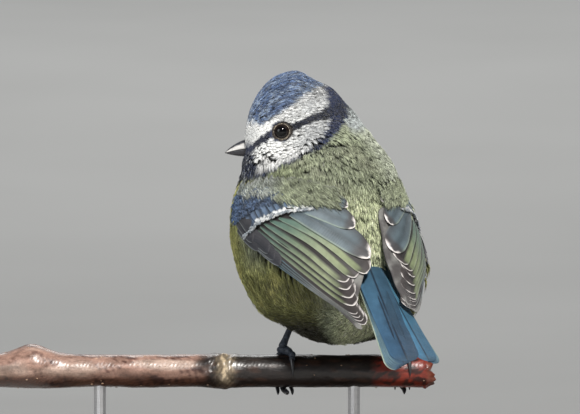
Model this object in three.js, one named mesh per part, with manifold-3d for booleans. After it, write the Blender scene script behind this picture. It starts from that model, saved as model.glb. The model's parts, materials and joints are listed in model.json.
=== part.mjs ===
// A blue tit perched on a short length of twig, life size, on a plain display
// stand. Millimetres, +Z up, the twig along X. The origin is the centre of the
// underside of the stand's base. The bird looks away from -Y, turned to its
// left, with the head turned further left, almost along -X.
import * as THREE from 'three';
import { mergeVertices } from 'three/addons/utils/BufferGeometryUtils.js';
import Module from 'manifold-3d';

const wasm = await Module();
wasm.setup();

// ---------------------------------------------------------------- dimensions
const GAP = 0.3;                 // clearance between touching parts
const BASE = { length: 112, width: 70, height: 6, corner: 18, edge: 1.0 };
const ROD = { radius: 1.5, x: [-45, 18.5] };
const TWIG = { axis: 34, radius: 4.1, x0: -72, x1: 37.6 };
const HEADING = 24 * Math.PI / 180;          // body turned left of +Y
const HEAD = { x: 3.65, y: 4.2, c: 61.4, pitch: 14 * Math.PI / 180, yaw: 4 * Math.PI / 180 };
const EYE = { x: 1.15, c: 59.85, radius: 2.25, showing: 1.95 };
const TAIL = { width0: 10.2, width1: 14.6, thick0: 3.0, thick1: 1.2 };
const FOOT = { x: [0.9, 30.2], toe: 0.78 };

const ST = Math.sin(HEADING), CT = Math.cos(HEADING);

// Trunk and neck: height above the twig's axis, x and forward offset of the
// section's centre, half depth along the heading, half width across it.
const TRUNK = [
  [7.0, 14.3, -5.5, 0.05, 0.05], [9.0, 14.25, -5.0, 10.0, 10.9],
  [11.25, 13.9, -4.5, 14.5, 15.1], [15.4, 14.2, -3.5, 18.5, 19.7],
  [21.4, 13.4, -2.2, 21.8, 21.9], [27.0, 12.9, -1.2, 23.8, 23.6],
  [32.0, 12.0, -0.2, 24.8, 23.7], [38.5, 10.75, 0.7, 24.8, 22.3],
  [44.0, 10.0, 1.5, 23.5, 20.5], [48.25, 9.9, 2.2, 21.8, 19.0],
  [51.9, 9.25, 3.0, 19.5, 18.6], [56.5, 8.5, 4.0, 15.5, 16.1],
  [62.25, 7.9, 5.0, 11.0, 12.7], [66.5, 8.75, 5.5, 6.5, 8.3],
  [68.25, 9.0, 5.7, 0.05, 0.05]];
// Outer face of the folded wings: height, half depth, half width.
const SHELL = [
  [8, 47, 17], [13, 43, 19.5], [17, 38, 21.5], [21.4, 33.2, 23],
  [27, 29.8, 24.8], [32, 28.1, 25], [38.5, 27.1, 23.6], [44, 25, 21.9],
  [48, 23.2, 20.4], [52, 20.8, 19.8]];

const V = (x, y, z) => new THREE.Vector3(x, y, z);
const rad = d => d * Math.PI / 180;
const mix = (a, b, t) => a + (b - a) * t;
const smooth = t => t * t * (3 - 2 * t);

// Smooth value of column k of a table at height c.
function sample(table, c, k) {
  const n = table.length;
  if (c <= table[0][0]) return table[0][k];
  if (c >= table[n - 1][0]) return table[n - 1][k];
  let i = 0;
  while (table[i + 1][0] < c) i++;
  const slope = j => {
    if (j <= 0 || j >= n - 1) {
      const a = Math.max(0, Math.min(n - 2, j === 0 ? 0 : n - 2));
      return (table[a + 1][k] - table[a][k]) / (table[a + 1][0] - table[a][0]);
    }
    const s0 = (table[j][k] - table[j - 1][k]) / (table[j][0] - table[j - 1][0]);
    const s1 = (table[j + 1][k] - table[j][k]) / (table[j + 1][0] - table[j][0]);
    if (s0 * s1 <= 0) return 0;
    return 2 * s0 * s1 / (s0 + s1);
  };
  const h = table[i + 1][0] - table[i][0], t = (c - table[i][0]) / h;
  const t2 = t * t, t3 = t2 * t;
  return (2 * t3 - 3 * t2 + 1) * table[i][k] + (t3 - 2 * t2 + t) * h * slope(i)
    + (-2 * t3 + 3 * t2) * table[i + 1][k] + (t3 - t2) * h * slope(i + 1);
}
// Point on a section: phi from the back towards the bird's left.
function around(phi, c, A, B) {
  const cx = sample(TRUNK, c, 1), cy = CT * sample(TRUNK, c, 2);
  return V(cx + ST * A * Math.cos(phi) - CT * B * Math.sin(phi),
    cy - CT * A * Math.cos(phi) - ST * B * Math.sin(phi), TWIG.axis + c);
}
const onTrunk = (phi, c, off = 0) => around(phi, c,
  sample(TRUNK, c, 3) + off, sample(TRUNK, c, 4) + off);
const onShell = (phi, c, off = 0) => around(phi, c,     // the right wing is held closer
  sample(SHELL, c, 1) + off, sample(SHELL, c, 2) + off - (phi < 0 ? 1.7 : 0));

// ------------------------------------------------------------ mesh building
function volume(pos, idx) {
  let v = 0;
  for (let i = 0; i < idx.length; i += 3) {
    const a = pos[idx[i]], b = pos[idx[i + 1]], c = pos[idx[i + 2]];
    v += a.dot(V(0, 0, 0).crossVectors(b, c));
  }
  return v / 6;
}
// Closed body through rings of equal count, with a fan over each end.
function loft(rings) {
  const n = rings[0].length, pos = [], idx = [];
  for (const r of rings) pos.push(...r);
  for (let i = 0; i + 1 < rings.length; i++) for (let j = 0; j < n; j++) {
    const a = i * n + j, b = i * n + (j + 1) % n, c = a + n, d = b + n;
    idx.push(a, b, d, a, d, c);
  }
  for (const [row, flip] of [[0, true], [rings.length - 1, false]]) {
    const mid = V(0, 0, 0);
    rings[row].forEach(p => mid.add(p));
    mid.divideScalar(n);
    pos.push(mid);
    const m = pos.length - 1;
    for (let j = 0; j < n; j++) {
      const a = row * n + j, b = row * n + (j + 1) % n;
      flip ? idx.push(m, b, a) : idx.push(m, a, b);
    }
  }
  if (volume(pos, idx) < 0) for (let i = 0; i < idx.length; i += 3) {
    const t = idx[i + 1]; idx[i + 1] = idx[i + 2]; idx[i + 2] = t;
  }
  const g = new THREE.BufferGeometry();
  g.setAttribute('position', new THREE.Float32BufferAttribute(
    pos.flatMap(p => [p.x, p.y, p.z]), 3));
  g.setIndex(idx);
  return g;
}
function solid(geometry) {
  const g = geometry.clone();
  g.deleteAttribute('normal'); g.deleteAttribute('uv');
  const m = mergeVertices(g, 1e-4);
  return new wasm.Manifold(new wasm.Mesh({
    numProp: 3, vertProperties: new Float32Array(m.attributes.position.array),
    triVerts: new Uint32Array(m.index.array) }));
}
function geometryOf(man) {
  const m = man.getMesh(), g = new THREE.BufferGeometry();
  const p = new Float32Array(m.numVert * 3);
  for (let i = 0; i < m.numVert; i++) for (let k = 0; k < 3; k++)
    p[3 * i + k] = m.vertProperties[i * m.numProp + k];
  g.setAttribute('position', new THREE.BufferAttribute(p, 3));
  g.setIndex(Array.from(m.triVerts));
  g.computeVertexNormals();
  return g;
}
// Keep the largest closed body of a cut solid.
function largest(man) {
  const parts = man.decompose();
  let best = parts[0];
  for (const p of parts) if (p.volume() > best.volume()) best = p;
  return best;
}
// Round-sided tube through points with its own radius at each.
function tube(points, radii, sides = 8, flat = 1) {
  const curve = new THREE.CatmullRomCurve3(points, false, 'centripetal');
  const n = points.length, rings = [], steps = (n - 1) * 2;
  let up = V(0.13, 0.31, 1).normalize();
  for (let s = 0; s <= steps; s++) {
    const u = s / steps, p = curve.getPoint(u), t = curve.getTangent(u).normalize();
    up = up.clone().sub(t.clone().multiplyScalar(up.dot(t))).normalize();
    const side = V(0, 0, 0).crossVectors(t, up);
    const k = Math.min(n - 2, Math.floor(u * (n - 1))), f = u * (n - 1) - k;
    const r = mix(radii[k], radii[k + 1], f), ring = [];
    for (let j = 0; j < sides; j++) {
      const a = 2 * Math.PI * j / sides;
      ring.push(p.clone().add(up.clone().multiplyScalar(r * flat * Math.cos(a)))
        .add(side.clone().multiplyScalar(r * Math.sin(a))));
    }
    rings.push(ring);
  }
  return loft(rings);
}
// A big block with one face through point p, filling the side n points to.
function half(p, n) {
  const box = new THREE.BoxGeometry(300, 300, 300);
  box.translate(0, 0, 150);
  box.applyQuaternion(new THREE.Quaternion().setFromUnitVectors(V(0, 0, 1), n.clone().normalize()));
  box.translate(p.x, p.y, p.z);
  return solid(box);
}

// --------------------------------------------------------------- head shape
const hf = V(-Math.cos(HEAD.pitch) * Math.cos(HEAD.yaw), Math.cos(HEAD.pitch) * Math.sin(HEAD.yaw), -Math.sin(HEAD.pitch));
const hl = V(0, 0, 1).cross(hf).normalize();          // the head's own left
const hu = V(0, 0, 0).crossVectors(hf, hl);
const headCentre = V(HEAD.x, HEAD.y, TWIG.axis + HEAD.c);
const inHead = (s, y, t) => headCentre.clone().addScaledVector(hf, s)
  .addScaledVector(hl, y).addScaledVector(hu, t);
// Sections along the head: forward, middle height, half height, half width.
const SKULL = [
  [-13.4, 0.4, 0.05, 0.05], [-12.6, 0.4, 4.8, 4.8], [-10.5, 0.3, 8.6, 8.3],
  [-7.0, 0.1, 11.8, 10.8], [-3.0, 0.2, 13.3, 11.6], [1.0, 0.2, 13.1, 11.3],
  [5.0, -0.2, 11.7, 10.1], [8.6, -1.1, 9.2, 8.0], [11.0, -2.2, 6.6, 5.7],
  [12.6, -3.2, 4.0, 3.6], [13.6, -3.7, 2.0, 2.0], [13.9, -3.8, 0.05, 0.05]];
function headRing(s, off = 0, sides = 20) {
  const m = sample(SKULL, s, 1), h = Math.max(0.05, sample(SKULL, s, 2) + off);
  const w = Math.max(0.05, sample(SKULL, s, 3) + off), ring = [];
  for (let j = 0; j < sides; j++) {
    const a = 2 * Math.PI * j / sides, c = Math.cos(a), q = Math.sin(a);
    ring.push(inHead(s, w * Math.sign(q) * Math.abs(q) ** 0.92, m + h * c));
  }
  return ring;
}
const headStations = [-13.4, -13.0, -12.0, -10.2, -7.6, -4, 0, 3.5, 6.5, 9, 11, 12.4, 13.4, 13.9];
const skull = solid(loft(headStations.map(s => headRing(s))));

// The bill: forward, upper edge, lower edge, half width, along its own line.
const billLine = s => inHead(s, 0, mix(-2.95, -2.15, (s - 12) / 6.5));
function bill(upper, grow = 0) {
  const s0 = 10.6 - grow, s1 = 18.6 + grow, rings = [];
  for (let i = 0; i <= 6; i++) {
    const u = i / 6, s = mix(s0, s1, u), r = Math.max(0.04, (1 - u ** 1.6));
    const h = (upper ? 2.75 : 2.15) * r ** (upper ? 0.85 : 0.75) + 0.08 + 2.6 * grow, w = 2.15 * r ** 0.85 + 0.10 + grow;
    const ring = [], p = billLine(s);
    for (let j = 0; j < 9; j++) {
      const a = Math.PI * j / 8, y = w * Math.cos(a), z = h * Math.sin(a) ** 0.8;
      ring.push(p.clone().addScaledVector(hl, y)
        .addScaledVector(hu, (upper ? 1 : -1) * (z + (grow ? -grow : GAP / 2))));
    }
    rings.push(ring);
  }
  return loft(rings);
}
const billUpper = solid(bill(true)), billLower = solid(bill(false));
const billRoom = solid(bill(true, GAP)).add(solid(bill(false, GAP)));

// ------------------------------------------------------------------- eyes
function headLocal(x, c, y) {          // height along the head for a side point
  const d = V(x - HEAD.x, 0, c - HEAD.c);
  return { s: d.dot(V(hf.x, 0, hf.z)) / (hf.x ** 2 + hf.z ** 2), t: d.dot(V(hu.x, 0, hu.z)) / (hu.x ** 2 + hu.z ** 2) };
}
const eyeAt = (() => {
  const { s, t } = headLocal(EYE.x, EYE.c);
  const m = sample(SKULL, s, 1), h = sample(SKULL, s, 2), w = sample(SKULL, s, 3);
  const y = w * Math.sqrt(Math.max(0, 1 - ((t - m) / h) ** 2));
  return { s, t, y: y - 2.0 };
})();
function eye(side, grow = 0) {
  const g = new THREE.SphereGeometry(EYE.radius + grow, 14, 9);
  const p = inHead(eyeAt.s, side * eyeAt.y, eyeAt.t);
  g.applyQuaternion(new THREE.Quaternion().setFromUnitVectors(V(0, 1, 0), hl));
  g.translate(p.x, p.y, p.z);
  return g;
}
// Open socket in front of the eye, so that the ball is not sealed in.
function socket(side) {
  const r = EYE.showing + 0.25;
  return tube([0, 1, 2].map(k => inHead(eyeAt.s, side * (eyeAt.y + 0.4 + 2.2 * k), eyeAt.t)), [r, r + 0.6, r + 1.2], 10);
}
const eyeL = solid(eye(1)), eyeR = solid(eye(-1));
const eyeRoom = solid(eye(1, GAP)).add(solid(socket(1))).add(solid(eye(-1, GAP))).add(solid(socket(-1)));

// ------------------------------------------------------------------ wings
// Outline of a folded wing in (angle, height) over the wing shell, from the
// bend of the wing to the tip of the longest primary.
const LEADING = [[95, 41.5], [93.8, 38.5], [82.9, 33.75], [72.5, 28.25], [64.2, 26.5],
  [54.6, 23.75], [46.6, 19.75], [41.2, 15], [36.6, 11.6], [34.5, 10.9]];
const INNER = [[91, 44.25], [77, 45.6], [57.6, 44.6], [39.9, 43.4], [19.5, 42.0],
  [8.8, 39], [5.0, 33.5], [6.0, 27.5], [16.0, 21.5], [27.0, 17], [31.6, 12.2], [33.0, 10.9]];
const RIGHT_RAISE = 4.2;           // the right wing tip is carried higher
const RIGHT_INNER = [[91, 44.25], [77, 45.6], [57.6, 44.6], [39.9, 43.4], [20.5, 42.3],
  [9.2, 40.2], [6.4, 34.4], [3.8, 28.7], [5.6, 24.6], [6.6, 20.5], [8.6, 16.4], [13.2, 15.1]];
const RIGHT_LEADING = [[95, 41.5], [93.8, 38.5], [82.9, 33.75], [72.5, 28.25], [64.2, 26.5],
  [55.6, 24.75], [46.6, 22.2], [33.0, 18.6], [22.0, 16.2], [15.4, 15.1]];
function path2(points) {
  return new THREE.CatmullRomCurve3(points.map(p => V(p[0], p[1] * 1.6, 0)), false, 'centripetal');
}
function wingBody(side) {
  const lead = path2(side > 0 ? LEADING : RIGHT_LEADING), inner = path2(side > 0 ? INNER : RIGHT_INNER);
  const rings = [], N = 16, M = 5;
  for (let i = 0; i <= N; i++) {
    const u = i / N, a = lead.getPointAt(u), b = inner.getPointAt(u);
    const outer = [], under = [];
    for (let j = 0; j <= M; j++) {
      const v = j / M, phi = rad(mix(a.x, b.x, v)) * side, c = mix(a.y, b.y, v) / 1.6;
      const t = (0.75 + 1.15 * Math.sin(Math.PI * v) ** 0.7) * mix(1.15, 0.7, smooth(u));
      outer.push(onShell(phi, c, 0));
      under.push(onShell(phi, c, -t));
    }
    rings.push([...outer, ...under.reverse()]);
  }
  return solid(loft(rings));
}
// Thin wall across a wing, along a line of (angle, height) points.
function curtain(side, points) {
  const curve = path2(points), rings = [];
  for (let i = 0; i <= 14; i++) {
    const u = i / 14, p = curve.getPointAt(u), t = curve.getTangentAt(u);
    const c = p.y / 1.6, phi = rad(p.x) * side, e = 0.4;
    const q = onShell(phi, c, 0);
    const dir = onShell(rad(p.x + e * t.x) * side, (p.y + e * t.y) / 1.6, 0).sub(q).normalize();
    const out = onShell(phi, c, 1).sub(onShell(phi, c, -1)).normalize();
    const w = V(0, 0, 0).crossVectors(dir, out).normalize().multiplyScalar(GAP / 2);
    rings.push([[1, 1.4], [-1, 1.4], [-1, -3.4], [1, -3.4]].map(([k, o]) =>
      q.clone().addScaledVector(out, o).addScaledVector(w, k)));
  }
  return solid(loft(rings));
}
const COVERT_LINE = [[67, 22], [70, 28], [74.5, 33.6], [72, 36.4], [66, 38.2], [55, 39.9], [38, 41.4], [27, 46]];
const PRIMARY_LINE = [[77, 35], [60, 30.6], [46, 25.4], [37, 20.5], [30, 14], [28, 9]];
const RIGHT_PRIMARY = [[77, 35], [60, 30.6], [46, 26.4], [30, 23], [14, 19.5], [0, 16.6]];
function wingParts(side) {
  const whole = wingBody(side);
  const pieces = whole.subtract(curtain(side, COVERT_LINE)).subtract(curtain(side, side > 0 ? PRIMARY_LINE : RIGHT_PRIMARY))
    .decompose().filter(p => p.volume() > 8).sort((p, q) => q.volume() - p.volume());
  const mid = p => { const b = p.boundingBox(); return (b.min[2] + b.max[2]) / 2; };
  const three = pieces.slice(0, 3).sort((p, q) => mid(q) - mid(p));
  return { coverts: three[0], secondaries: three[1], primaries: three[2], whole };
}
const wingL = wingParts(1), wingR = wingParts(-1);

// ------------------------------------------------------------------- tail
const tailRoot = V(21.0, -17.5, TWIG.axis + 26.6);
const tailDir = V(0.27, -0.785, -0.557).normalize();
const tailSide = V(0.9135, 0.4067, 0.06).normalize();      // towards the bird's right
const tailLength = 44.5;
function tail(grow = 0) {
  const across = tailSide.clone().addScaledVector(tailDir, -tailSide.dot(tailDir)).normalize();
  const up = V(0, 0, 0).crossVectors(across, tailDir).normalize();
  if (up.z < 0) up.negate();
  const rings = [];
  for (let i = 0; i <= 8; i++) {
    const u = i / 8, s = u * tailLength;
    const w = mix(TAIL.width0, TAIL.width1, u ** 0.8) / 2 + grow, h = mix(TAIL.thick0, TAIL.thick1, u) / 2 + grow;
    const ring = [], n = 9;
    for (let j = 0; j <= n - 1; j++) {
      const v = -1 + 2 * j / (n - 1), notch = -1.5 * Math.max(0, 1 - Math.abs(v) * 1.8) - 2.4 * Math.max(0, Math.abs(v) - 0.72) / 0.28;
      const crown = 1.5 * (1 - v * v) * mix(1, 0.45, u);
      ring.push(tailRoot.clone().addScaledVector(tailDir, s + (u > 0.8 ? notch * (u - 0.8) / 0.2 : 0))
        .addScaledVector(across, w * v).addScaledVector(up, crown + h * (1 - 0.35 * v * v)));
    }
    for (let j = n - 1; j >= 0; j--) {
      const p = ring[j].clone(), v = -1 + 2 * j / (n - 1);
      ring.push(p.addScaledVector(up, -2 * h * (1 - 0.35 * v * v)));
    }
    rings.push(ring);
  }
  return solid(loft(rings));
}
const tailWhole = tail(), tailRoom = tail(GAP);

// ------------------------------------------------------------------- legs
const axisZ = TWIG.axis, grip = TWIG.radius + GAP;
function toePath(x0, x1, a0, a1, n, r, lift = () => 0) {
  const pts = [];
  for (let i = 0; i <= n; i++) {
    const u = i / n, a = rad(mix(a0, a1, u)), R = grip + r(u) + lift(u);
    pts.push(V(mix(x0, x1, smooth(Math.min(1, u * 1.6))), R * Math.sin(a), axisZ + R * Math.cos(a)));
  }
  return pts;
}
// Toes: sideways offset of the tip, first and last angle round the twig.
const TOES = [
  { name: 'inner', dx: -3.2, a0: 2, a1: 118, claw: 165 },
  { name: 'middle', dx: 0.4, a0: 2, a1: 138, claw: 190 },
  { name: 'outer', dx: 3.4, a0: 2, a1: 120, claw: 167 },
  { name: 'hind', dx: 1.3, a0: -2, a1: -84, claw: -142 }];
function foot(x) {
  let body = null; const claws = [];
  for (const toe of TOES) {
    const r = u => FOOT.toe * mix(1.15, 0.78, u) * (1 + 0.10 * Math.cos(u * 6 * Math.PI));
    const n = 4, pts = toePath(x, x + toe.dx, toe.a0, toe.a1, n, r);
    const t = solid(tube(pts, pts.map((p, i) => r(i / n)), 6));
    body = body ? body.add(t) : t;
    const cr = u => mix(0.62, 0.06, u ** 0.8), step = toe.a1 > 0 ? 4.2 : -4.2;
    const cp = toePath(x + toe.dx, x + toe.dx * 1.08, toe.a1 + step, toe.claw, 3, cr, u => 0.35 + 1.5 * u * u);
    claws.push(solid(tube(cp, cp.map((p, i) => cr(i / 3)), 5)));
  }
  const pad = new THREE.SphereGeometry(1.5, 8, 6);
  pad.scale(1.05, 1.15, 0.75); pad.translate(x, 0.1, axisZ + grip + 1.1);
  return { body: body.add(solid(pad)), claws };
}
const feet = FOOT.x.map(foot);
const ankle = FOOT.x.map(x => V(x, 0.1, axisZ + grip + 2.35));
const knee = [V(6.4, 3.4, axisZ + 20.0), V(24.6, 2.0, axisZ + 20.0)];
function shank(i, grow = 0) {
  const a = ankle[i], b = knee[i], pts = [a, a.clone().lerp(b, 0.12), a.clone().lerp(b, 0.5), a.clone().lerp(b, 0.92), b];
  const r = [1.0, 0.72, 0.70, 0.85, 1.1].map(k => k + grow);
  if (grow) pts[0] = a.clone().addScaledVector(b.clone().sub(a).normalize(), -grow);
  return solid(tube(pts, r, 8));
}
function thigh(i, grow = 0) {
  const b = ankle[i].clone().lerp(knee[i], 0.50), k = knee[i].clone().add(V(0, 3, 6));
  const d = b.clone().lerp(k, 0.5), m = b.clone().lerp(d, 0.45);
  const q = b.clone().addScaledVector(k.clone().sub(b).normalize(), -grow);
  return solid(tube([q, m, d, k], [1.5 + grow, 3.4 + grow, 4.4 + grow, 4.0 + grow], 12));
}
const shanks = [0, 1].map(i => shank(i)), shankRoom = [0, 1].map(i => shank(i, GAP));
const thighRoom = [0, 1].map(i => thigh(i, GAP));
const thighs = [0, 1].map(i => thigh(i).subtract(shankRoom[i]));

// ------------------------------------------------------- trunk, neck, head
const trunkHeights = [];
for (let k = 0; k <= 19; k++) {
  const u = k / 19;
  trunkHeights.push(7 + 61.25 * (0.5 - 0.5 * Math.cos(Math.PI * (0.04 + 0.92 * u)) - 0.00394) / 0.99212);
}
trunkHeights[0] = 7.0; trunkHeights[19] = 68.25;
const torso = solid(loft(trunkHeights.map(c => {
  const ring = [];
  for (let j = 0; j < 24; j++) ring.push(onTrunk(2 * Math.PI * j / 24, c));
  return ring;
})));
const rumpRings = [];
for (let k = 0; k <= 6; k++) {            // the rump runs out over the tail's root
  const u = k / 6, p = tailRoot.clone().addScaledVector(tailDir, mix(-12, 13.5, u)).add(V(0, 0, -1.6)), r = mix(11, 5.2, smooth(u)), ring = [];
  for (let j = 0; j < 14; j++) {
    const a = 2 * Math.PI * j / 14;
    ring.push(p.clone().addScaledVector(tailSide, r * 1.05 * Math.sin(a)).add(V(-0.3, 0.55, 0.8).normalize().multiplyScalar(r * 0.62 * Math.cos(a))));
  }
  rumpRings.push(ring);
}
const wingRoomFor = w => w.whole;
let flesh = torso.add(solid(loft(rumpRings))).add(skull);
flesh = flesh.subtract(billRoom).subtract(eyeRoom).subtract(tailRoom)
  .subtract(shankRoom[0]).subtract(shankRoom[1]).subtract(thighRoom[0]).subtract(thighRoom[1]);
// Room for the wings: everything outside their inner faces.
function wingRoom(side) {
  const lead = path2(side > 0 ? LEADING : RIGHT_LEADING), inner = path2(side > 0 ? INNER : RIGHT_INNER);
  const rings = [], N = 16, M = 5, out = 0.035;
  for (let i = -1; i <= N + 1; i++) {
    const u = Math.min(1, Math.max(0, i / N)), a0 = lead.getPointAt(u), b0 = inner.getPointAt(u);
    if (i < 0) { a0.add(V(1.8, 1.2, 0)); b0.add(V(2.2, 1.6, 0)); }
    if (i > N) { a0.add(V(-0.8, -1.6, 0)); b0.add(V(-0.8, -1.6, 0)); }
    const d = b0.clone().sub(a0), L = Math.max(3, d.length()); d.normalize();
    const a = a0.clone().addScaledVector(d, -1.0 - out * L), b = b0.clone().addScaledVector(d, 1.0 + out * L);
    const outer = [], under = [];
    for (let j = 0; j <= M; j++) {
      const v = j / M, phi = rad(mix(a.x, b.x, v)) * side, c = mix(a.y, b.y, v) / 1.6;
      const t = (0.75 + 1.15 * Math.sin(Math.PI * v) ** 0.7) * mix(1.15, 0.7, smooth(u)) + 1.6 * GAP;
      outer.push(onShell(phi, c, 3));
      under.push(onShell(phi, c, -t));
    }
    rings.push([...outer, ...under.reverse()]);
  }
  return solid(loft(rings));
}
flesh = flesh.subtract(wingRoom(1)).subtract(wingRoom(-1));
// Cuts: behind the cheeks, and across the base of the neck.
const cut1 = { p: V(18.2, 0, TWIG.axis + 64.4), n: V(-0.60, 0, 0.80) };
const cut2 = { p: V(23.0, 0, TWIG.axis + 57.0), n: V(-0.36, 0, 0.93) };
const shift = (c, d) => c.p.clone().addScaledVector(c.n, d / c.n.length());
const head = largest(flesh.intersect(half(shift(cut1, GAP / 2), cut1.n)));
const neck = largest(flesh.subtract(half(shift(cut1, -GAP / 2), cut1.n)).intersect(half(shift(cut2, GAP / 2), cut2.n)));
const trunk = largest(flesh.subtract(half(shift(cut2, -GAP / 2), cut2.n)).subtract(half(shift(cut1, -GAP / 2), cut1.n)));

// -------------------------------------------------------- twig and stand
function twigRadius(x) {
  const knot = (x0, w, h) => h * Math.exp(-(((x - x0) / w) ** 2));
  return TWIG.radius + knot(-62, 5.5, 1.5) + knot(-14.5, 3.5, 0.28) + knot(33, 3.5, 0.22) + 0.06 * Math.sin(x * 0.31);
}
function twig() {
  const rings = [], N = 20;
  for (let i = 0; i <= N; i++) {
    const u = i / N, x = mix(TWIG.x0, TWIG.x1, u), ring = [];
    for (let j = 0; j < 12; j++) {
      const a = 2 * Math.PI * j / 12;
      let r = twigRadius(x);
      const near = Math.max(...FOOT.x.map(f => Math.exp(-(((x - f) / 6) ** 2))));
      r = mix(r, TWIG.radius, near);
      if (i === 0) r *= 0.9;
      const ragged = i === N ? 1.3 * Math.sin(a * 3 + 1) + 0.7 * Math.sin(a * 5) : 0;
      const bump = 1 + 0.22 * Math.exp(-(((x + 62) / 5.5) ** 2)) * Math.cos(a);
      ring.push(V(x + ragged, r * Math.sin(a), axisZ + (r * bump) * Math.cos(a)));
    }
    rings.push(ring);
  }
  return solid(loft(rings));
}
function rod(x, grow = 0) {
  const z0 = BASE.height - 2.5, z1 = axisZ - 1.2 + grow;
  const g = new THREE.CylinderGeometry(ROD.radius + grow, ROD.radius + grow, z1 - z0, 12);
  g.rotateX(Math.PI / 2); g.translate(x, 0, (z0 + z1) / 2);
  return g;
}
let perch = twig();
for (const x of ROD.x) perch = perch.subtract(solid(rod(x, GAP)));
const shape = new THREE.Shape();
{
  const a = BASE.length / 2 - BASE.edge, b = BASE.width / 2 - BASE.edge, r = BASE.corner;
  shape.moveTo(-a + r, -b); shape.lineTo(a - r, -b);
  shape.absarc(a - r, -b + r, r, -Math.PI / 2, 0); shape.lineTo(a, b - r);
  shape.absarc(a - r, b - r, r, 0, Math.PI / 2); shape.lineTo(-a + r, b);
  shape.absarc(-a + r, b - r, r, Math.PI / 2, Math.PI); shape.lineTo(-a, -b + r);
  shape.absarc(-a + r, -b + r, r, Math.PI, 1.5 * Math.PI);
}
const plate = new THREE.ExtrudeGeometry(shape, { depth: BASE.height - 2 * BASE.edge, bevelEnabled: true,
  bevelThickness: BASE.edge, bevelSize: BASE.edge, bevelSegments: 1, curveSegments: 3 });
plate.translate(0, 0, BASE.edge);
let base = solid(plate);
for (const x of ROD.x) {
  const g = new THREE.CylinderGeometry(ROD.radius + GAP, ROD.radius + GAP, 12, 12);
  g.rotateX(Math.PI / 2); g.translate(x, 0, BASE.height - 2.5 - GAP + 6);
  base = base.subtract(solid(g));
}

// ------------------------------------------------------------- the scene
const finish = (hex, rough, metal = 0) => new THREE.MeshStandardMaterial({ color: hex, roughness: rough, metalness: metal });
const group = new THREE.Group();
function put(name, man, hex, rough = 0.85, metal = 0) {
  const m = new THREE.Mesh(geometryOf(man), finish(hex, rough, metal));
  m.name = name;
  group.add(m);
}
put('trunk', trunk, 0x8f9a6a);
put('neck', neck, 0x4a5a78);
put('head', head, 0xc9ccd2);
put('bill_upper', billUpper, 0x8d8f92, 0.4);
put('bill_lower', billLower, 0x2a2b30, 0.4);
put('eye_l', eyeL, 0x120c0a, 0.08);
put('eye_r', eyeR, 0x120c0a, 0.08);
for (const [tag, w] of [['l', wingL], ['r', wingR]]) {
  put('wing_coverts_' + tag, w.coverts, 0x5a76a0);
  put('wing_secondaries_' + tag, w.secondaries, 0x8fa08c);
  put('wing_primaries_' + tag, w.primaries, 0x4f4c4c);
}
put('tail', tailWhole, 0x6f9cc4);
['l', 'r'].forEach((tag, i) => {
  put('thigh_' + tag, thighs[i], 0x9a9a72);
  put('shank_' + tag, shanks[i], 0x3d4654, 0.6);
  put('foot_' + tag, feet[i].body, 0x3d4654, 0.6);
  feet[i].claws.forEach((c, k) => put('claw_' + TOES[k].name + '_' + tag, c, 0x33343a, 0.4));
});
put('perch', perch, 0x7d5a48, 0.5);
put('stand_base', base, 0x2d2622, 0.45);
put('stand_rod_left', solid(rod(ROD.x[0])), 0x9a9c9e, 0.3, 1);
put('stand_rod_right', solid(rod(ROD.x[1])), 0x9a9c9e, 0.3, 1);

export default group;
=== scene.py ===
"""The looks of a life-size blue tit on a twig: skin, plumage, flight feathers,
bill, eyes, feet, bark, display stand, floor, lights and camera."""
import bpy
import json
import math
import numpy as np
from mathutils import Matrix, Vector
from mathutils.bvhtree import BVHTree
from mathutils.kdtree import KDTree

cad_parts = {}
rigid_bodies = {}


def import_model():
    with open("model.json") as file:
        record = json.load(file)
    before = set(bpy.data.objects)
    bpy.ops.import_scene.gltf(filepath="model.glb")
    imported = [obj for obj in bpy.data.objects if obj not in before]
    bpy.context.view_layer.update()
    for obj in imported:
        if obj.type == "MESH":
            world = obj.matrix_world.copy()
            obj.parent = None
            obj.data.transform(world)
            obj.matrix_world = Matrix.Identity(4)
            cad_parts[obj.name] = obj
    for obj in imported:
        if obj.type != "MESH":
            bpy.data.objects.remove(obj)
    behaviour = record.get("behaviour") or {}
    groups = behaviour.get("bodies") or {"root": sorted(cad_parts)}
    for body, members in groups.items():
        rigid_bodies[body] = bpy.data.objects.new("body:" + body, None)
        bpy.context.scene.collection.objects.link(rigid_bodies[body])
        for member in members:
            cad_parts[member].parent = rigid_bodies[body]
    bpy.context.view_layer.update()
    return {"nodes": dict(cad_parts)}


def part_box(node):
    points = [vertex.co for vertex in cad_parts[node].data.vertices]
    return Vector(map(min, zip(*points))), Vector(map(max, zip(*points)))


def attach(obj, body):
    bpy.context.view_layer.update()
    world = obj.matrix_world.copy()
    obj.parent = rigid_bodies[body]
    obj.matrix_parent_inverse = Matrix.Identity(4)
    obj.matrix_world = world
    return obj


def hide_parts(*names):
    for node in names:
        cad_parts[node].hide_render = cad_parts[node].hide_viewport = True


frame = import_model()
NODES = frame["nodes"]
MM = 0.001
rng = np.random.default_rng(11)
DENS = 1.0

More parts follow.
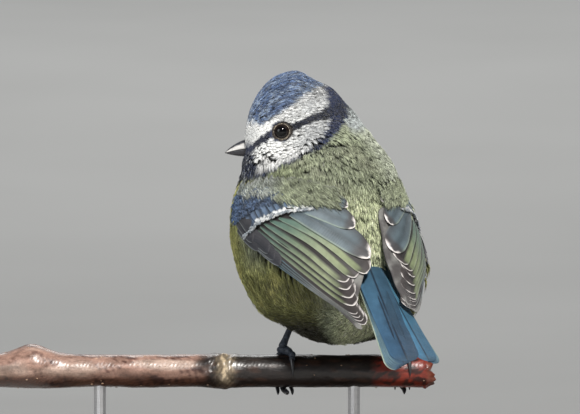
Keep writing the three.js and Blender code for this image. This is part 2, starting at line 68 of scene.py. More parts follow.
# ------------------------------------------------------------------ frame
AXIS = 34.0                                   # height of the twig's axis
ST, CT = math.sin(math.radians(24)), math.cos(math.radians(24))
TRUNK = np.array([
    [7.0, 14.3, -5.5, 0.05, 0.05], [9.0, 14.25, -5.0, 10.0, 10.9],
    [11.25, 13.9, -4.5, 14.5, 15.1], [15.4, 14.2, -3.5, 18.5, 19.7],
    [21.4, 13.4, -2.2, 21.8, 21.9], [27.0, 12.9, -1.2, 23.8, 23.6],
    [32.0, 12.0, -0.2, 24.8, 23.7], [38.5, 10.75, 0.7, 24.8, 22.3],
    [44.0, 10.0, 1.5, 23.5, 20.5], [48.25, 9.9, 2.2, 21.8, 19.0],
    [51.9, 9.25, 3.0, 19.5, 18.6], [56.5, 8.5, 4.0, 15.5, 16.1],
    [62.25, 7.9, 5.0, 11.0, 12.7], [66.5, 8.75, 5.5, 6.5, 8.3],
    [68.25, 9.0, 5.7, 0.05, 0.05]])
SHELL = np.array([
    [8, 47, 17], [13, 43, 19.5], [17, 38, 21.5], [21.4, 33.2, 23],
    [27, 29.8, 24.8], [32, 28.1, 25], [38.5, 27.1, 23.6], [44, 25, 21.9],
    [48, 23.2, 20.4], [52, 20.8, 19.8]], float)
SKULL = np.array([
    [-13.4, 0.4, 0.05, 0.05], [-12.6, 0.4, 4.8, 4.8], [-10.5, 0.3, 8.6, 8.3],
    [-7.0, 0.1, 11.8, 10.8], [-3.0, 0.2, 13.3, 11.6], [1.0, 0.2, 13.1, 11.3],
    [5.0, -0.2, 11.7, 10.1], [8.6, -1.1, 9.2, 8.0], [11.0, -2.2, 6.6, 5.7],
    [12.6, -3.2, 4.0, 3.6], [13.6, -3.7, 2.0, 2.0], [13.9, -3.8, 0.05, 0.05]])


def unit(v):
    v = np.asarray(v, float)
    return v / (np.linalg.norm(v, axis=-1, keepdims=True) + 1e-12)


def curve(table, x, k):
    """Monotone smooth value of column k of a table at x."""
    x = np.asarray(x, float)
    X, Y = table[:, 0], table[:, k]
    h = np.diff(X)
    s = np.diff(Y) / h
    m = np.empty(len(X))
    m[0], m[-1] = s[0], s[-1]
    p = s[:-1] * s[1:]
    m[1:-1] = np.where(p <= 0, 0, 2 * p / np.where(s[:-1] + s[1:] == 0, 1, s[:-1] + s[1:]))
    xc = np.clip(x, X[0], X[-1])
    i = np.clip(np.searchsorted(X, xc, side="right") - 1, 0, len(h) - 1)
    t = (xc - X[i]) / h[i]
    t2, t3 = t * t, t * t * t
    return ((2 * t3 - 3 * t2 + 1) * Y[i] + (t3 - 2 * t2 + t) * h[i] * m[i]
            + (-2 * t3 + 3 * t2) * Y[i + 1] + (t3 - t2) * h[i] * m[i + 1])


def around(phi, c, A, B):
    cx, cy = curve(TRUNK, c, 1), CT * curve(TRUNK, c, 2)
    return np.stack([cx + ST * A * np.cos(phi) - CT * B * np.sin(phi),
                     cy - CT * A * np.cos(phi) - ST * B * np.sin(phi),
                     AXIS + np.asarray(c, float) + 0 * phi], -1)


def on_trunk(phi, c, off=0.0):
    return around(phi, c, curve(TRUNK, c, 3) + off, curve(TRUNK, c, 4) + off)


def on_shell(phi, c, off=0.0, side=1):
    return around(phi * side, c, curve(SHELL, c, 1) + off,
                  curve(SHELL, c, 2) + off - (1.7 if side < 0 else 0.0))


PITCH, YAW = math.radians(14), math.radians(4)
HF = np.array([-math.cos(PITCH) * math.cos(YAW), math.cos(PITCH) * math.sin(YAW), -math.sin(PITCH)])
HL = unit(np.cross([0, 0, 1], HF))
HU = np.cross(HF, HL)
HC = np.array([3.65, 4.2, AXIS + 61.4])


def in_head(s, y, t):
    return HC + np.multiply.outer(s, HF) + np.multiply.outer(y, HL) + np.multiply.outer(t, HU)


def head_coords(p):
    d = p - HC
    return d @ HF, d @ HL, d @ HU


def sm(a, b, x):
    t = np.clip((x - a) / (b - a), 0, 1)
    return t * t * (3 - 2 * t)


def mixc(a, b, t):
    """Blend colours a, b (N,3 or 3) by t (N)."""
    a = np.broadcast_to(np.asarray(a, float), (len(t), 3))
    b = np.broadcast_to(np.asarray(b, float), (len(t), 3))
    return a + (b - a) * np.asarray(t)[:, None]


def wave(p, f, seed):
    """Cheap smooth noise in -1..1 from sums of sines, at about f cycles/mm."""
    r = np.random.default_rng(seed)
    out = np.zeros(len(p))
    for k in range(6):
        d = unit(r.normal(size=3)) * f * (0.6 + 1.2 * r.random())
        out += np.sin(2 * np.pi * (p @ d) + r.random() * 6.28)
    return out / 3.2


# ----------------------------------------------------------------- meshes
def new_mesh(name, V, F, col=None, uv=None, smooth=True, uv_name="OFBake", extra_uv=None):
    """A mesh object from millimetre vertices V and triangle or quad faces F."""
    V = np.asarray(V, float) * MM
    F = np.asarray(F)
    n, k = F.shape
    me = bpy.data.meshes.new(name)
    me.vertices.add(len(V))
    me.vertices.foreach_set("co", V.astype(np.float32).ravel())
    me.loops.add(n * k)
    me.loops.foreach_set("vertex_index", F.astype(np.int32).ravel())
    me.polygons.add(n)
    me.polygons.foreach_set("loop_start", (np.arange(n) * k).astype(np.int32))
    me.polygons.foreach_set("loop_total", np.full(n, k, np.int32))
    if smooth:
        me.polygons.foreach_set("use_smooth", np.ones(n, bool))
    if col is not None:
        a = me.color_attributes.new("Col", "FLOAT_COLOR", "POINT")
        c4 = np.ones((len(V), 4), np.float32)
        c4[:, :3] = np.clip(col, 0, 1)
        a.data.foreach_set("color", c4.ravel())
    if uv is not None:
        layer = me.uv_layers.new(name=uv_name)
        uv = np.asarray(uv, np.float32)
        layer.data.foreach_set("uv", (uv if uv.ndim == 3 else uv[F.ravel()]).ravel())
    if extra_uv is not None:
        layer = me.uv_layers.new(name=extra_uv[0])
        layer.data.foreach_set("uv", np.asarray(extra_uv[1], np.float32)[F.ravel()].ravel())
    me.update(calc_edges=True)
    me.validate(clean_customdata=False)
    ob = bpy.data.objects.new(name, me)
    bpy.context.scene.collection.objects.link(ob)
    return ob


def loft(rings, closed=True):
    """Closed body through rings (R, n, 3), with a fan over each end."""
    R = np.asarray(rings, float)
    m, n = R.shape[:2]
    V = [R.reshape(-1, 3)]
    F = []
    i, j = np.meshgrid(np.arange(m - 1), np.arange(n), indexing="ij")
    a = (i * n + j).ravel(); b = (i * n + (j + 1) % n).ravel()
    c, d = a + n, b + n
    F.append(np.stack([a, b, d], 1)); F.append(np.stack([a, d, c], 1))
    if closed:
        V.append(R[0].mean(0)[None]); V.append(R[-1].mean(0)[None])
        j = np.arange(n); k = (j + 1) % n
        F.append(np.stack([np.full(n, m * n), k, j], 1))
        F.append(np.stack([np.full(n, m * n + 1), (m - 1) * n + j, (m - 1) * n + k], 1))
    V = np.concatenate(V); F = np.concatenate(F)
    t = V[F]
    if np.einsum("ij,ij->i", t[:, 0], np.cross(t[:, 1], t[:, 2])).sum() < 0:
        F = F[:, ::-1]
    return V, F


def join(parts):
    V, F, n = [], [], 0
    for v, f in parts:
        V.append(v); F.append(f + n); n += len(v)
    return np.concatenate(V), np.concatenate(F)


def catmull(points, u):
    """Points on a smooth curve through the given ones, u in 0..1."""
    P = np.asarray(points, float)
    n = len(P) - 1
    u = np.atleast_1d(u) * n
    i = np.clip(np.floor(u).astype(int), 0, n - 1)
    t = (u - i)[:, None]
    p0 = P[np.clip(i - 1, 0, n)]; p1 = P[i]; p2 = P[i + 1]; p3 = P[np.clip(i + 2, 0, n)]
    p0 = np.where((i == 0)[:, None], 2 * p1 - p2, p0)
    p3 = np.where((i == n - 1)[:, None], 2 * p2 - p1, p3)
    return 0.5 * (2 * p1 + (p2 - p0) * t + (2 * p0 - 5 * p1 + 4 * p2 - p3) * t ** 2
                  + (3 * p1 - p0 - 3 * p2 + p3) * t ** 3)


def tube(points, radii, sides=16, steps=40, squash=1.0, up0=(0.13, 0.31, 1.0), bump=None):
    u = np.linspace(0, 1, steps)
    P = catmull(points, u)
    T = unit(np.gradient(P, axis=0))
    r = np.interp(u, np.linspace(0, 1, len(radii)), radii)
    up = unit(np.array(up0, float))
    rings = []
    for k in range(steps):
        up = unit(up - T[k] * (up @ T[k]))
        side = np.cross(T[k], up)
        a = np.linspace(0, 2 * np.pi, sides, endpoint=False)
        rr = r[k] * (1 + (bump(u[k], a) if bump else 0))
        rings.append(P[k] + np.outer(rr * squash * np.cos(a), up) + np.outer(rr * np.sin(a), side))
    return loft(rings)


def evaluated(ob):
    dg = bpy.context.evaluated_depsgraph_get()
    me = bpy.data.meshes.new_from_object(ob.evaluated_get(dg))
    return me


def mesh_arrays(me):
    me.calc_loop_triangles()
    V = np.empty(len(me.vertices) * 3, np.float32)
    me.vertices.foreach_get("co", V)
    F = np.empty(len(me.loop_triangles) * 3, np.int32)
    me.loop_triangles.foreach_get("vertices", F)
    return V.reshape(-1, 3).astype(float) / MM, F.reshape(-1, 3)


def vertex_normals(V, F):
    t = V[F]
    n = np.cross(t[:, 1] - t[:, 0], t[:, 2] - t[:, 0])
    N = np.zeros_like(V)
    for k in range(3):
        np.add.at(N, F[:, k], n)
    return unit(N)


# -------------------------------------------------------------- materials
def material(name, rough=0.6, sheen=0.0, spec=0.5, coat=0.0):
    m = bpy.data.materials.new(name)
    m.use_nodes = True
    nt = m.node_tree
    nt.nodes.clear()
    out = nt.nodes.new("ShaderNodeOutputMaterial")
    b = nt.nodes.new("ShaderNodeBsdfPrincipled")
    nt.links.new(b.outputs[0], out.inputs[0])
    b.inputs["Roughness"].default_value = rough
    b.inputs["Specular IOR Level"].default_value = spec
    b.inputs["Sheen Weight"].default_value = sheen
    if sheen:
        b.inputs["Sheen Roughness"].default_value = 0.45
    b.inputs["Coat Weight"].default_value = coat
    return m, nt, b


def node(nt, kind, **inputs):
    n = nt.nodes.new(kind)
    for k, v in inputs.items():
        key = k.replace("_", " ")
        if key in n.inputs:
            n.inputs[key].default_value = v
    return n


def ramp(nt, stops, source, interp="LINEAR"):
    r = nt.nodes.new("ShaderNodeValToRGB")
    r.color_ramp.interpolation = interp
    e = r.color_ramp.elements
    while len(e) < len(stops):
        e.new(0.5)
    for el, (p, c) in zip(e, stops):
        el.position = p
        el.color = (*c, 1.0) if len(c) == 3 else c
    nt.links.new(source, r.inputs[0])
    return r


def mul(nt, a, b, fac=1.0, mode="MULTIPLY"):
    m = nt.nodes.new("ShaderNodeMix")
    m.data_type = "RGBA"
    m.blend_type = mode
    m.inputs[0].default_value = fac
    nt.links.new(a, m.inputs[6])
    nt.links.new(b, m.inputs[7])
    return m.outputs[2]


def feather_material(name, rough=0.7, sheen=0.25, spec=0.25, scale=900.0, amount=0.35):
    """Plumage: painted colour, broken up by fine noise along the barbs."""
    m, nt, b = material(name, rough, sheen, spec)
    a = nt.nodes.new("ShaderNodeAttribute"); a.attribute_name = "Col"
    tc = nt.nodes.new("ShaderNodeTexCoord")
    no = node(nt, "ShaderNodeTexNoise", Scale=scale, Detail=3.0, Roughness=0.6)
    nt.links.new(tc.outputs["Object"], no.inputs["Vector"])
    r = ramp(nt, [(0.25, (1 - amount,) * 3), (0.75, (1 + 0,) * 3)], no.outputs["Fac"])
    nt.links.new(mul(nt, a.outputs["Color"], r.outputs[0]), b.inputs["Base Color"])
    bu = node(nt, "ShaderNodeBump", Strength=0.25, Distance=0.0001)
    nt.links.new(no.outputs["Fac"], bu.inputs["Height"])
    nt.links.new(bu.outputs[0], b.inputs["Normal"])
    return m


def vane_material(name, rough=0.5, sheen=0.15, spec=0.35, barbs=26.0, strength=0.35):
    """Flight feather: painted colour with slanting barbs from the vane's own map."""
    m, nt, b = material(name, rough, sheen, spec)
    a = nt.nodes.new("ShaderNodeAttribute"); a.attribute_name = "Col"
    uvn = nt.nodes.new("ShaderNodeUVMap"); uvn.uv_map = "Vane"
    sep = nt.nodes.new("ShaderNodeSeparateXYZ")
    nt.links.new(uvn.outputs[0], sep.inputs[0])
    # distance from the shaft, then lines that slant forward from it
    ab = nt.nodes.new("ShaderNodeMath"); ab.operation = "ABSOLUTE"
    nt.links.new(sep.outputs[1], ab.inputs[0])
    ma = nt.nodes.new("ShaderNodeMath"); ma.operation = "MULTIPLY_ADD"; ma.inputs[1].default_value = -1.1
    nt.links.new(ab.outputs[0], ma.inputs[0]); nt.links.new(sep.outputs[0], ma.inputs[2])
    fr = nt.nodes.new("ShaderNodeMath"); fr.operation = "MULTIPLY"; fr.inputs[1].default_value = barbs
    nt.links.new(ma.outputs[0], fr.inputs[0])
    si = nt.nodes.new("ShaderNodeMath"); si.operation = "SINE"
    nt.links.new(fr.outputs[0], si.inputs[0])
    tc = nt.nodes.new("ShaderNodeTexCoord")
    no = node(nt, "ShaderNodeTexNoise", Scale=420.0, Detail=4.0, Roughness=0.6)
    nt.links.new(tc.outputs["Object"], no.inputs["Vector"])
    r = ramp(nt, [(0.3, (0.72,) * 3), (0.7, (1.0,) * 3)], no.outputs["Fac"])
    s2 = nt.nodes.new("ShaderNodeMapRange"); s2.inputs[1].default_value = -1; s2.inputs[2].default_value = 1
    s2.inputs[3].default_value = 0.82; s2.inputs[4].default_value = 1.0
    nt.links.new(si.outputs[0], s2.inputs[0])
    cm = nt.nodes.new("ShaderNodeCombineColor")
    for k in range(3):
        nt.links.new(s2.outputs[0], cm.inputs[k])
    nt.links.new(mul(nt, mul(nt, a.outputs["Color"], r.outputs[0]), cm.outputs[0]), b.inputs["Base Color"])
    bu = node(nt, "ShaderNodeBump", Strength=strength, Distance=0.00008)
    nt.links.new(si.outputs[0], bu.inputs["Height"])
    nt.links.new(bu.outputs[0], b.inputs["Normal"])
    return m


# ------------------------------------------------- plumage colour by place
LINE = np.array([[-14, 1.0], [-10.7, 0.8], [-8.7, 0.5], [-5.3, 0.2], [-2.7, -0.3], [0, -0.7], [2.7, -0.8], [5.3, -1.0], [8.1, -1.7], [11.0, -3.0], [14, -4.0]])
LINE_W = np.array([[-14, 1.7], [-10, 1.5], [-7, 1.1], [-3, 0.85], [0, 0.75], [5, 0.85], [8, 0.95], [11, 0.95], [14, 0.8]])
CAP = np.array([[-16, 8.5], [-9.35, 7.5], [-7.6, 7.0], [-5.5, 6.5], [-3.3, 5.5], [-0.9, 4.4], [2, 3.4], [4.7, 2.3], [7.0, 1.7], [9, 2.7], [12, 3.6], [14, 3.6]])
CHEEK = np.array([[-14, 2.0], [-10.6, 1.3], [-10.2, -1.4], [-8.6, -3.8], [-6.3, -5.9], [-4.5, -7.0], [-1.8, -8.3], [1.8, -9.2], [5.4, -10.0], [8.3, -10.5], [11, -10.6], [14, -10.6]])
COLLAR = np.array([[-14.4, 1.0], [-14.2, -1.2], [-12.8, -3.1], [-11, -4.7], [-8.5, -6.7], [-5.75, -7.9], [-3, -8.8], [3, -10.0], [8.8, -11.2], [14, -11.5]])

BLUE = np.array([0.075, 0.125, 0.245])
BLUE_HI = np.array([0.36, 0.43, 0.51])
INK = np.array([0.010, 0.014, 0.030])
COLLAR_C = np.array([0.022, 0.032, 0.075])
WHITE = np.array([0.80, 0.81, 0.80])
GREEN = np.array([0.31, 0.345, 0.235])
GREENER = np.array([0.33, 0.38, 0.15])
RUMP = np.array([0.68, 0.74, 0.47])
YELLOW = np.array([0.60, 0.53, 0.13])
# OLIVE: the flanks' own duller tone, with painted shade in it
OLIVE = np.array([0.405, 0.415, 0.150])
# painted shade: the vent's colour is darkened to the shade beneath the body
VENT_SHADE = np.array([0.055, 0.053, 0.028])
NAPE = np.array([0.42, 0.46, 0.46])


def eye_offsets(p, i):
    """Height of points over an eye's centre along its axis, and their distance from that axis."""
    a = p - EYE_C[i]
    h = a @ EYE_OUT[i]
    return h, np.linalg.norm(a - np.outer(h, EYE_OUT[i]), axis=1)


def trunk_coords(p):
    """Angle from the back (left positive) and height of points near the trunk."""
    c = p[:, 2] - AXIS
    dx = p[:, 0] - curve(TRUNK, c, 1)
    dy = p[:, 1] - CT * curve(TRUNK, c, 2)
    back = dx * ST - dy * CT
    left = -dx * CT - dy * ST
    A = np.maximum(curve(TRUNK, c, 3), 3); B = np.maximum(curve(TRUNK, c, 4), 3)
    return np.degrees(np.arctan2(left / B, back / A)), c


def plumage(p, jitter=0.0):
    """Colour of the plumage at points p (mm), the same on skin and feathers."""
    s, y, t = head_coords(p)
    s = s + 0.35 * wave(p, 0.35, 5) + jitter
    t = t + 0.30 * wave(p, 0.4, 6) + 0.6 * jitter
    phi, c = trunk_coords(p)
    # body
    back = 1 - sm(78, 100, np.abs(phi) + 3 * wave(p, 0.08, 9))
    body = mixc(GREEN, GREENER, 0.55 * sm(44, 54, c) * sm(20, 70, phi) + 0.0 * c)
    body = mixc(body, np.array([0.30, 0.32, 0.23]), sm(-0.2, 0.9, wave(p, 0.09, 12)) * 0.7)
    body = mixc(body, RUMP, (1 - sm(10, 34, np.abs(phi))) * (1 - sm(38, 47, c)) * 0.9)
    # painted light: the right side of the upper back is lightened where light falls on it
    body = mixc(body, np.array([0.52, 0.56, 0.46]), sm(15, 45, -phi) * sm(36, 44, c) * 0.8)
    # flanks dulled to olive: partly their own tone, partly painted shade
    under = mixc(YELLOW, OLIVE, 1 - sm(105, 150, np.abs(phi)))
    under = mixc(under, np.array([0.62, 0.58, 0.22]), 0.5 * sm(0.1, 0.9, wave(p, 0.11, 14)))
    # painted shade: the lowest underparts turn to the darkened vent colour
    under = mixc(under, VENT_SHADE, 1 - sm(10, 17, c))
    # painted shade: the lower flanks and rear, below the wing, are darkened by up to half
    under = under * (1 - 0.5 * (1 - sm(75, 125, np.abs(phi))) * (1 - sm(17, 29, c)))[:, None]
    under = mixc(under, np.array([0.26, 0.28, 0.17]), sm(44, 50, c) * (1 - sm(118, 150, np.abs(phi))))
    low = 1 - sm(24, 31, c + 0.02 * np.abs(phi))
    body = mixc(under, body, back * (1 - low * (1 - (1 - sm(24, 42, np.abs(phi))))))
    # nape patch behind the collar
    d = np.hypot((s + 15.6) / 2.3, (t + 1.6) / 4.2)
    body = mixc(body, NAPE, (1 - sm(0.7, 1.35, d)) * (1 - sm(7, 11, np.abs(y))))
    # head
    lt, lw = np.interp(s, LINE[:, 0], LINE[:, 1]), np.interp(s, LINE_W[:, 0], LINE_W[:, 1])
    ct = np.interp(s, CAP[:, 0], CAP[:, 1])
    kt = np.interp(s, CHEEK[:, 0], CHEEK[:, 1])
    ot = np.interp(s, COLLAR[:, 0], COLLAR[:, 1])
    head = np.broadcast_to(WHITE, p.shape).copy()
    shade = np.array([0.62, 0.64, 0.64])
    head = mixc(head, shade, 0.45 * sm(-0.2, 1, wave(p, 0.22, 21)))
    # painted shade: the white behind the eye is greyed in streaks, and greyer still low at the back
    hair = wave(np.stack([s * 0.15, y, t], -1), 1.3, 23) + 0.8 * jitter
    head = mixc(head, np.array([0.34, 0.355, 0.37]), np.clip((1 - sm(-6.0, 3.0, s)) * (0.46 + 0.45 * sm(-0.3, 0.8, hair)), 0, 0.85) + 0.15 * (1 - sm(-5.0, 2.0, s)) * (1 - sm(-5.0, 2.0, s)) * (1 - sm(-1.0, 0.5, t)))
    # blue cap, paler at its front and along its rim
    cap = (t > ct) & (s > -8.4)
    lane = np.stack([s * 0.12, y * 1.0, t * 0.75], -1)
    front = sm(6.0, 9.5, s)
    streaky = wave(lane, 0.9, 35) * 0.9 * front
    capw = sm(-0.35 - 0.5 * front, 0.55 + 1.3 * front, t - ct + streaky) * sm(-9.0, -7.4, s + 0.10 * (t - 8) + 2.6 * sm(6.2, 7.8, t))
    streak = sm(-0.45, 0.8, 0.6 * wave(lane, 0.8, 31) + 0.6 * wave(lane, 1.9, 32) + 0.9 * jitter)
    capc = mixc(BLUE, BLUE_HI, 0.60 * streak + 0.25 * sm(7.5, 11.5, s) + 0.25 * (1 - sm(0.4, 2.2, t - ct)))
    capc = mixc(capc, INK * 3, 0.66 * sm(0.0, 0.8, 0.5 * wave(lane, 0.8, 33) + 0.6 * wave(lane, 1.7, 34) - 0.7 * jitter))
    head = mixc(head, capc, np.clip(capw, 0, 1))
    # dark line from the bill through the eye to the nape
    head = mixc(head, INK, 1 - sm(0.75, 1.25, np.abs(t - lt) / lw))
    # a dark surround to each eye
    for i in range(2):
        h, rho = eye_offsets(p, i)
        head = mixc(head, INK * 2.2, (1 - sm(2.45, 2.95, rho + 0.25 * wave(p, 0.8, 37))) * (h > -1.5))
    # collar behind and under the cheek, up over the nape
    below = 1 - sm(-0.25, 0.25, t - kt)
    rear = 1 - sm(-10.6, -9.6, s + 0.05 * t)
    head = mixc(head, COLLAR_C, np.clip(np.maximum(below, rear), 0, 1))
    # chin and bib
    bib = sm(10.6, 11.5, s + 0.0 * t) * (1 - sm(-4.6, -3.8, t + 0.15 * (s - 12)))
    bib = np.maximum(bib, (1 - sm(1.3, 2.4, np.abs(y))) * (1 - sm(-4.4, -3.4, t)) * sm(6, 8, s))
    bibc = mixc(INK * 1.6, np.array([0.40, 0.42, 0.42]), sm(0.0, 0.7, wave(p, 0.9, 41)) * 0.45)
    head = mixc(head, bibc, bib)
    # lores: dusky bristles at the bill's base
    lore = (1 - sm(0.6, 2.2, np.hypot(s - 12.3, (t + 2.6) * 0.9))) * 0.6
    head = mixc(head, INK * 3, lore)
    on = sm(-0.3, 0.3, t - ot) * sm(-14.6, -13.6, s + 0.12 * (t + 2))
    on = np.where(s > 8.8, sm(-11.9, -11.1, t), on)
    return mixc(body, head, np.clip(on, 0, 1))


# ------------------------------------------------ surface of the plumage
def trunk_rings(off=0.0, m=70, n=88):
    u = np.linspace(0, 1, m)
    c = 7.05 + 61.15 * (0.5 - 0.5 * np.cos(np.pi * u))
    phi = np.linspace(0, 2 * np.pi, n, endpoint=False)
    return np.stack([on_trunk(phi, np.full(n, k), 0) for k in c])


def head_rings(m=50, n=60):
    u = np.linspace(0, 1, m)
    s = -13.35 + 27.2 * (0.5 - 0.5 * np.cos(np.pi * u))
    a = np.linspace(0, 2 * np.pi, n, endpoint=False)
    out = []
    for k in s:
        mid, h, w = (curve(SKULL, k, q) for q in (1, 2, 3))
        q = np.sin(a)
        out.append(in_head(np.full(n, k), w * np.sign(q) * np.abs(q) ** 0.92, mid + h * np.cos(a)))
    return np.stack(out)


TAIL_ROOT = np.array([21.0, -17.5, AXIS + 26.6])
TAIL_DIR = unit(np.array([0.27, -0.785, -0.557]))
TAIL_SIDE = unit(np.array([0.9135, 0.4067, 0.06]))
TAIL_ACROSS = unit(TAIL_SIDE - TAIL_DIR * (TAIL_SIDE @ TAIL_DIR))
TAIL_UP = unit(np.cross(TAIL_ACROSS, TAIL_DIR))
if TAIL_UP[2] < 0:
    TAIL_UP = -TAIL_UP


def rump_rings():
    out = []
    a = np.linspace(0, 2 * np.pi, 40, endpoint=False)
    for u in np.linspace(0, 1, 14):
        p = TAIL_ROOT + TAIL_DIR * (-12 + 25.5 * u) + np.array([0, 0, -1.6])
        r = (11 + (5.2 - 11) * sm(0, 0.8, u)) * (1 - 0.55 * sm(0.70, 1.0, u))
        out.append(p + np.outer(r * 1.05 * np.sin(a), TAIL_SIDE) + np.outer(r * 0.62 * np.cos(a), unit([-0.3, 0.55, 0.8])))
    return np.stack(out)


def remeshed(parts, voxel, smooth, name="tmp"):
    V, F = join(parts)
    ob = new_mesh(name, V, F)
    r = ob.modifiers.new("r", "REMESH"); r.mode = "VOXEL"; r.voxel_size = voxel * MM
    if smooth:
        k = ob.modifiers.new("s", "SMOOTH"); k.factor = 0.5; k.iterations = smooth
    me = evaluated(ob)
    V, F = mesh_arrays(me)
    bpy.data.objects.remove(ob, do_unlink=True)
    return V, F


THIGHS = [([6.0, 3.0, AXIS + 13.2], [6.4, 6.4, AXIS + 26.0]), ([24.4, 2.0, AXIS + 13.2], [24.6, 5.0, AXIS + 26.0])]
ANKLE = [np.array([0.9, 0.1, AXIS + 6.75]), np.array([30.2, 0.1, AXIS + 6.75])]
KNEE = [np.array([6.4, 3.4, AXIS + 20.0]), np.array([24.6, 2.0, AXIS + 20.0])]

thigh_parts = []
for i in range(2):
    b = ANKLE[i] + 0.5 * (KNEE[i] - ANKLE[i])
    k = KNEE[i] + np.array([0, 3, 6.0])
    thigh_parts.append(tube([b, b + 0.22 * (k - b), b + 0.5 * (k - b), k], [1.4, 3.3, 4.3, 3.9], 20, 16))

OUT_V, OUT_F = remeshed([loft(trunk_rings()), loft(head_rings()), loft(rump_rings())] + thigh_parts, 0.62, 14)
OUT_N = vertex_normals(OUT_V, OUT_F)


def filled_creases(V, F, N, rounds=200):
    """Feathers bridge the fold between cheek, throat and shoulder: raise its hollow."""
    E = np.concatenate([F[:, [0, 1]], F[:, [1, 2]], F[:, [2, 0]]])
    a, b = E[:, 0], E[:, 1]
    n = len(V)
    deg = np.maximum(np.bincount(a, minlength=n), 1)[:, None]
    s, y, t = head_coords(V)
    c = V[:, 2] - AXIS
    w = sm(43, 48, c) * (1 - sm(66, 70, c)) * (1 - sm(6.5, 9.5, s) * sm(-6.5, -4.5, t))
    e = np.minimum(np.linalg.norm(V - EYE_C[0], axis=1), np.linalg.norm(V - EYE_C[1], axis=1))
    w = (w * sm(3.0, 4.5, e))[:, None]
    for _ in range(rounds):
        mean = np.stack([np.bincount(a, V[b, k], n) for k in range(3)], 1) / deg
        d = ((mean - V) * N).sum(1, keepdims=True)
        V = V + N * np.clip(d, 0, None) * 0.9 * w
    return V


# eye centres, from their place in the solids
EYE_C = [np.array(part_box(n)).mean(0) / MM for n in ("eye_l", "eye_r")]
EYE_OUT = [unit(EYE_C[0] - EYE_C[1]), unit(EYE_C[1] - EYE_C[0])]
EYE_C = [EYE_C[i] + EYE_OUT[i] * 0.40 for i in range(2)]


def socketed(V):
    """The plumage dips a little to the rim of each eye."""
    for i in range(2):
        h, rho = eye_offsets(V, i)
        print("over eye", i, [round(float(h[(rho > a) & (rho < a + 0.5) & (h > 0)].max()), 2) for a in (1.5, 2.2, 3.0, 4.0, 5.0)])
        over = np.where((rho < 6.5) & (h > -1), h - (1.30 + 0.36 * np.maximum(rho - 2.2, 0)), 0)
        V = V - np.outer(np.clip(over, 0, None), EYE_OUT[i])
    return V


def slimmed(V, N):
    """Flatter back of the crown, and a belly tucked up in front of the leg."""
    s, y, t = head_coords(V)
    crown = 1.35 * np.exp(-((s + 8.6) / 3.4) ** 2) * sm(2.5, 6.5, t)
    tuck = 1.9 * np.exp(-((V[:, 0] - 1.0) / 6.5) ** 2 - ((V[:, 2] - AXIS - 10.5) / 6.0) ** 2)
    return V - N * (crown + tuck)[:, None]


OUT_V = socketed(filled_creases(OUT_V, OUT_F, OUT_N))
OUT_V = slimmed(OUT_V, OUT_N)


def eased(F, N, rounds=14):
    """Normals averaged with their neighbours, so that feathers turn gradually over a fold."""
    E = np.concatenate([F[:, [0, 1]], F[:, [1, 2]], F[:, [2, 0]]])
    a, b = E[:, 0], E[:, 1]
    n = len(N)
    for _ in range(rounds):
        N = unit(N + np.stack([np.bincount(a, N[b, k], n) for k in range(3)], 1))
    return N


OUT_N = vertex_normals(OUT_V, OUT_F)


def coat_depth(p):
    """How far the skin lies under the plumage's surface."""
    s, y, t = head_coords(p)
    r = np.sqrt(s ** 2 + (y * 1.15) ** 2 + t ** 2)
    face = sm(3, 12.5, s) * (1 - sm(15, 18, r))
    head = 1 - sm(14.5, 19, r)
    d = 3.4 - 1.6 * head - 1.1 * face
    e = np.minimum(np.linalg.norm(p - EYE_C[0], axis=-1), np.linalg.norm(p - EYE_C[1], axis=-1))
    d = d + (0.50 - d) * (1 - sm(2.9, 5.2, e))
    return np.maximum(d, 0.50)


# --------------------------------------------------------------------- skin
skin_V = OUT_V - OUT_N * coat_depth(OUT_V)[:, None]


# ---------------------------------------------------------------- legs, feet
GRIP = 4.15
TOE = 0.80


def toe_path(x0, x1, a0, a1, n, r, lift=None):
    u = np.linspace(0, 1, n)
    a = np.radians(a0 + (a1 - a0) * u)
    R = GRIP + r(u) + (lift(u) if lift else 0)
    q = np.minimum(1, 1.6 * u)
    x = x0 + (x1 - x0) * q * q * (3 - 2 * q)
    return np.stack([x, R * np.sin(a), AXIS + R * np.cos(a)], -1)


def path_tube(P, r, sides=14, bump=None, flat=1.0, up0=(0.13, 0.31, 1.0)):
    """Tube on given points with a radius at each."""
    T = unit(np.gradient(P, axis=0))
    up = unit(np.array(up0, float))
    a = np.linspace(0, 2 * np.pi, sides, endpoint=False)
    rings = []
    for k in range(len(P)):
        up = unit(up - T[k] * (up @ T[k]))
        side = np.cross(T[k], up)
        rr = r[k] * (1 + (bump(k / (len(P) - 1), a) if bump else 0))
        rings.append(P[k] + np.outer(rr * flat * np.cos(a), up) + np.outer(rr * np.sin(a), side))
    return loft(rings)


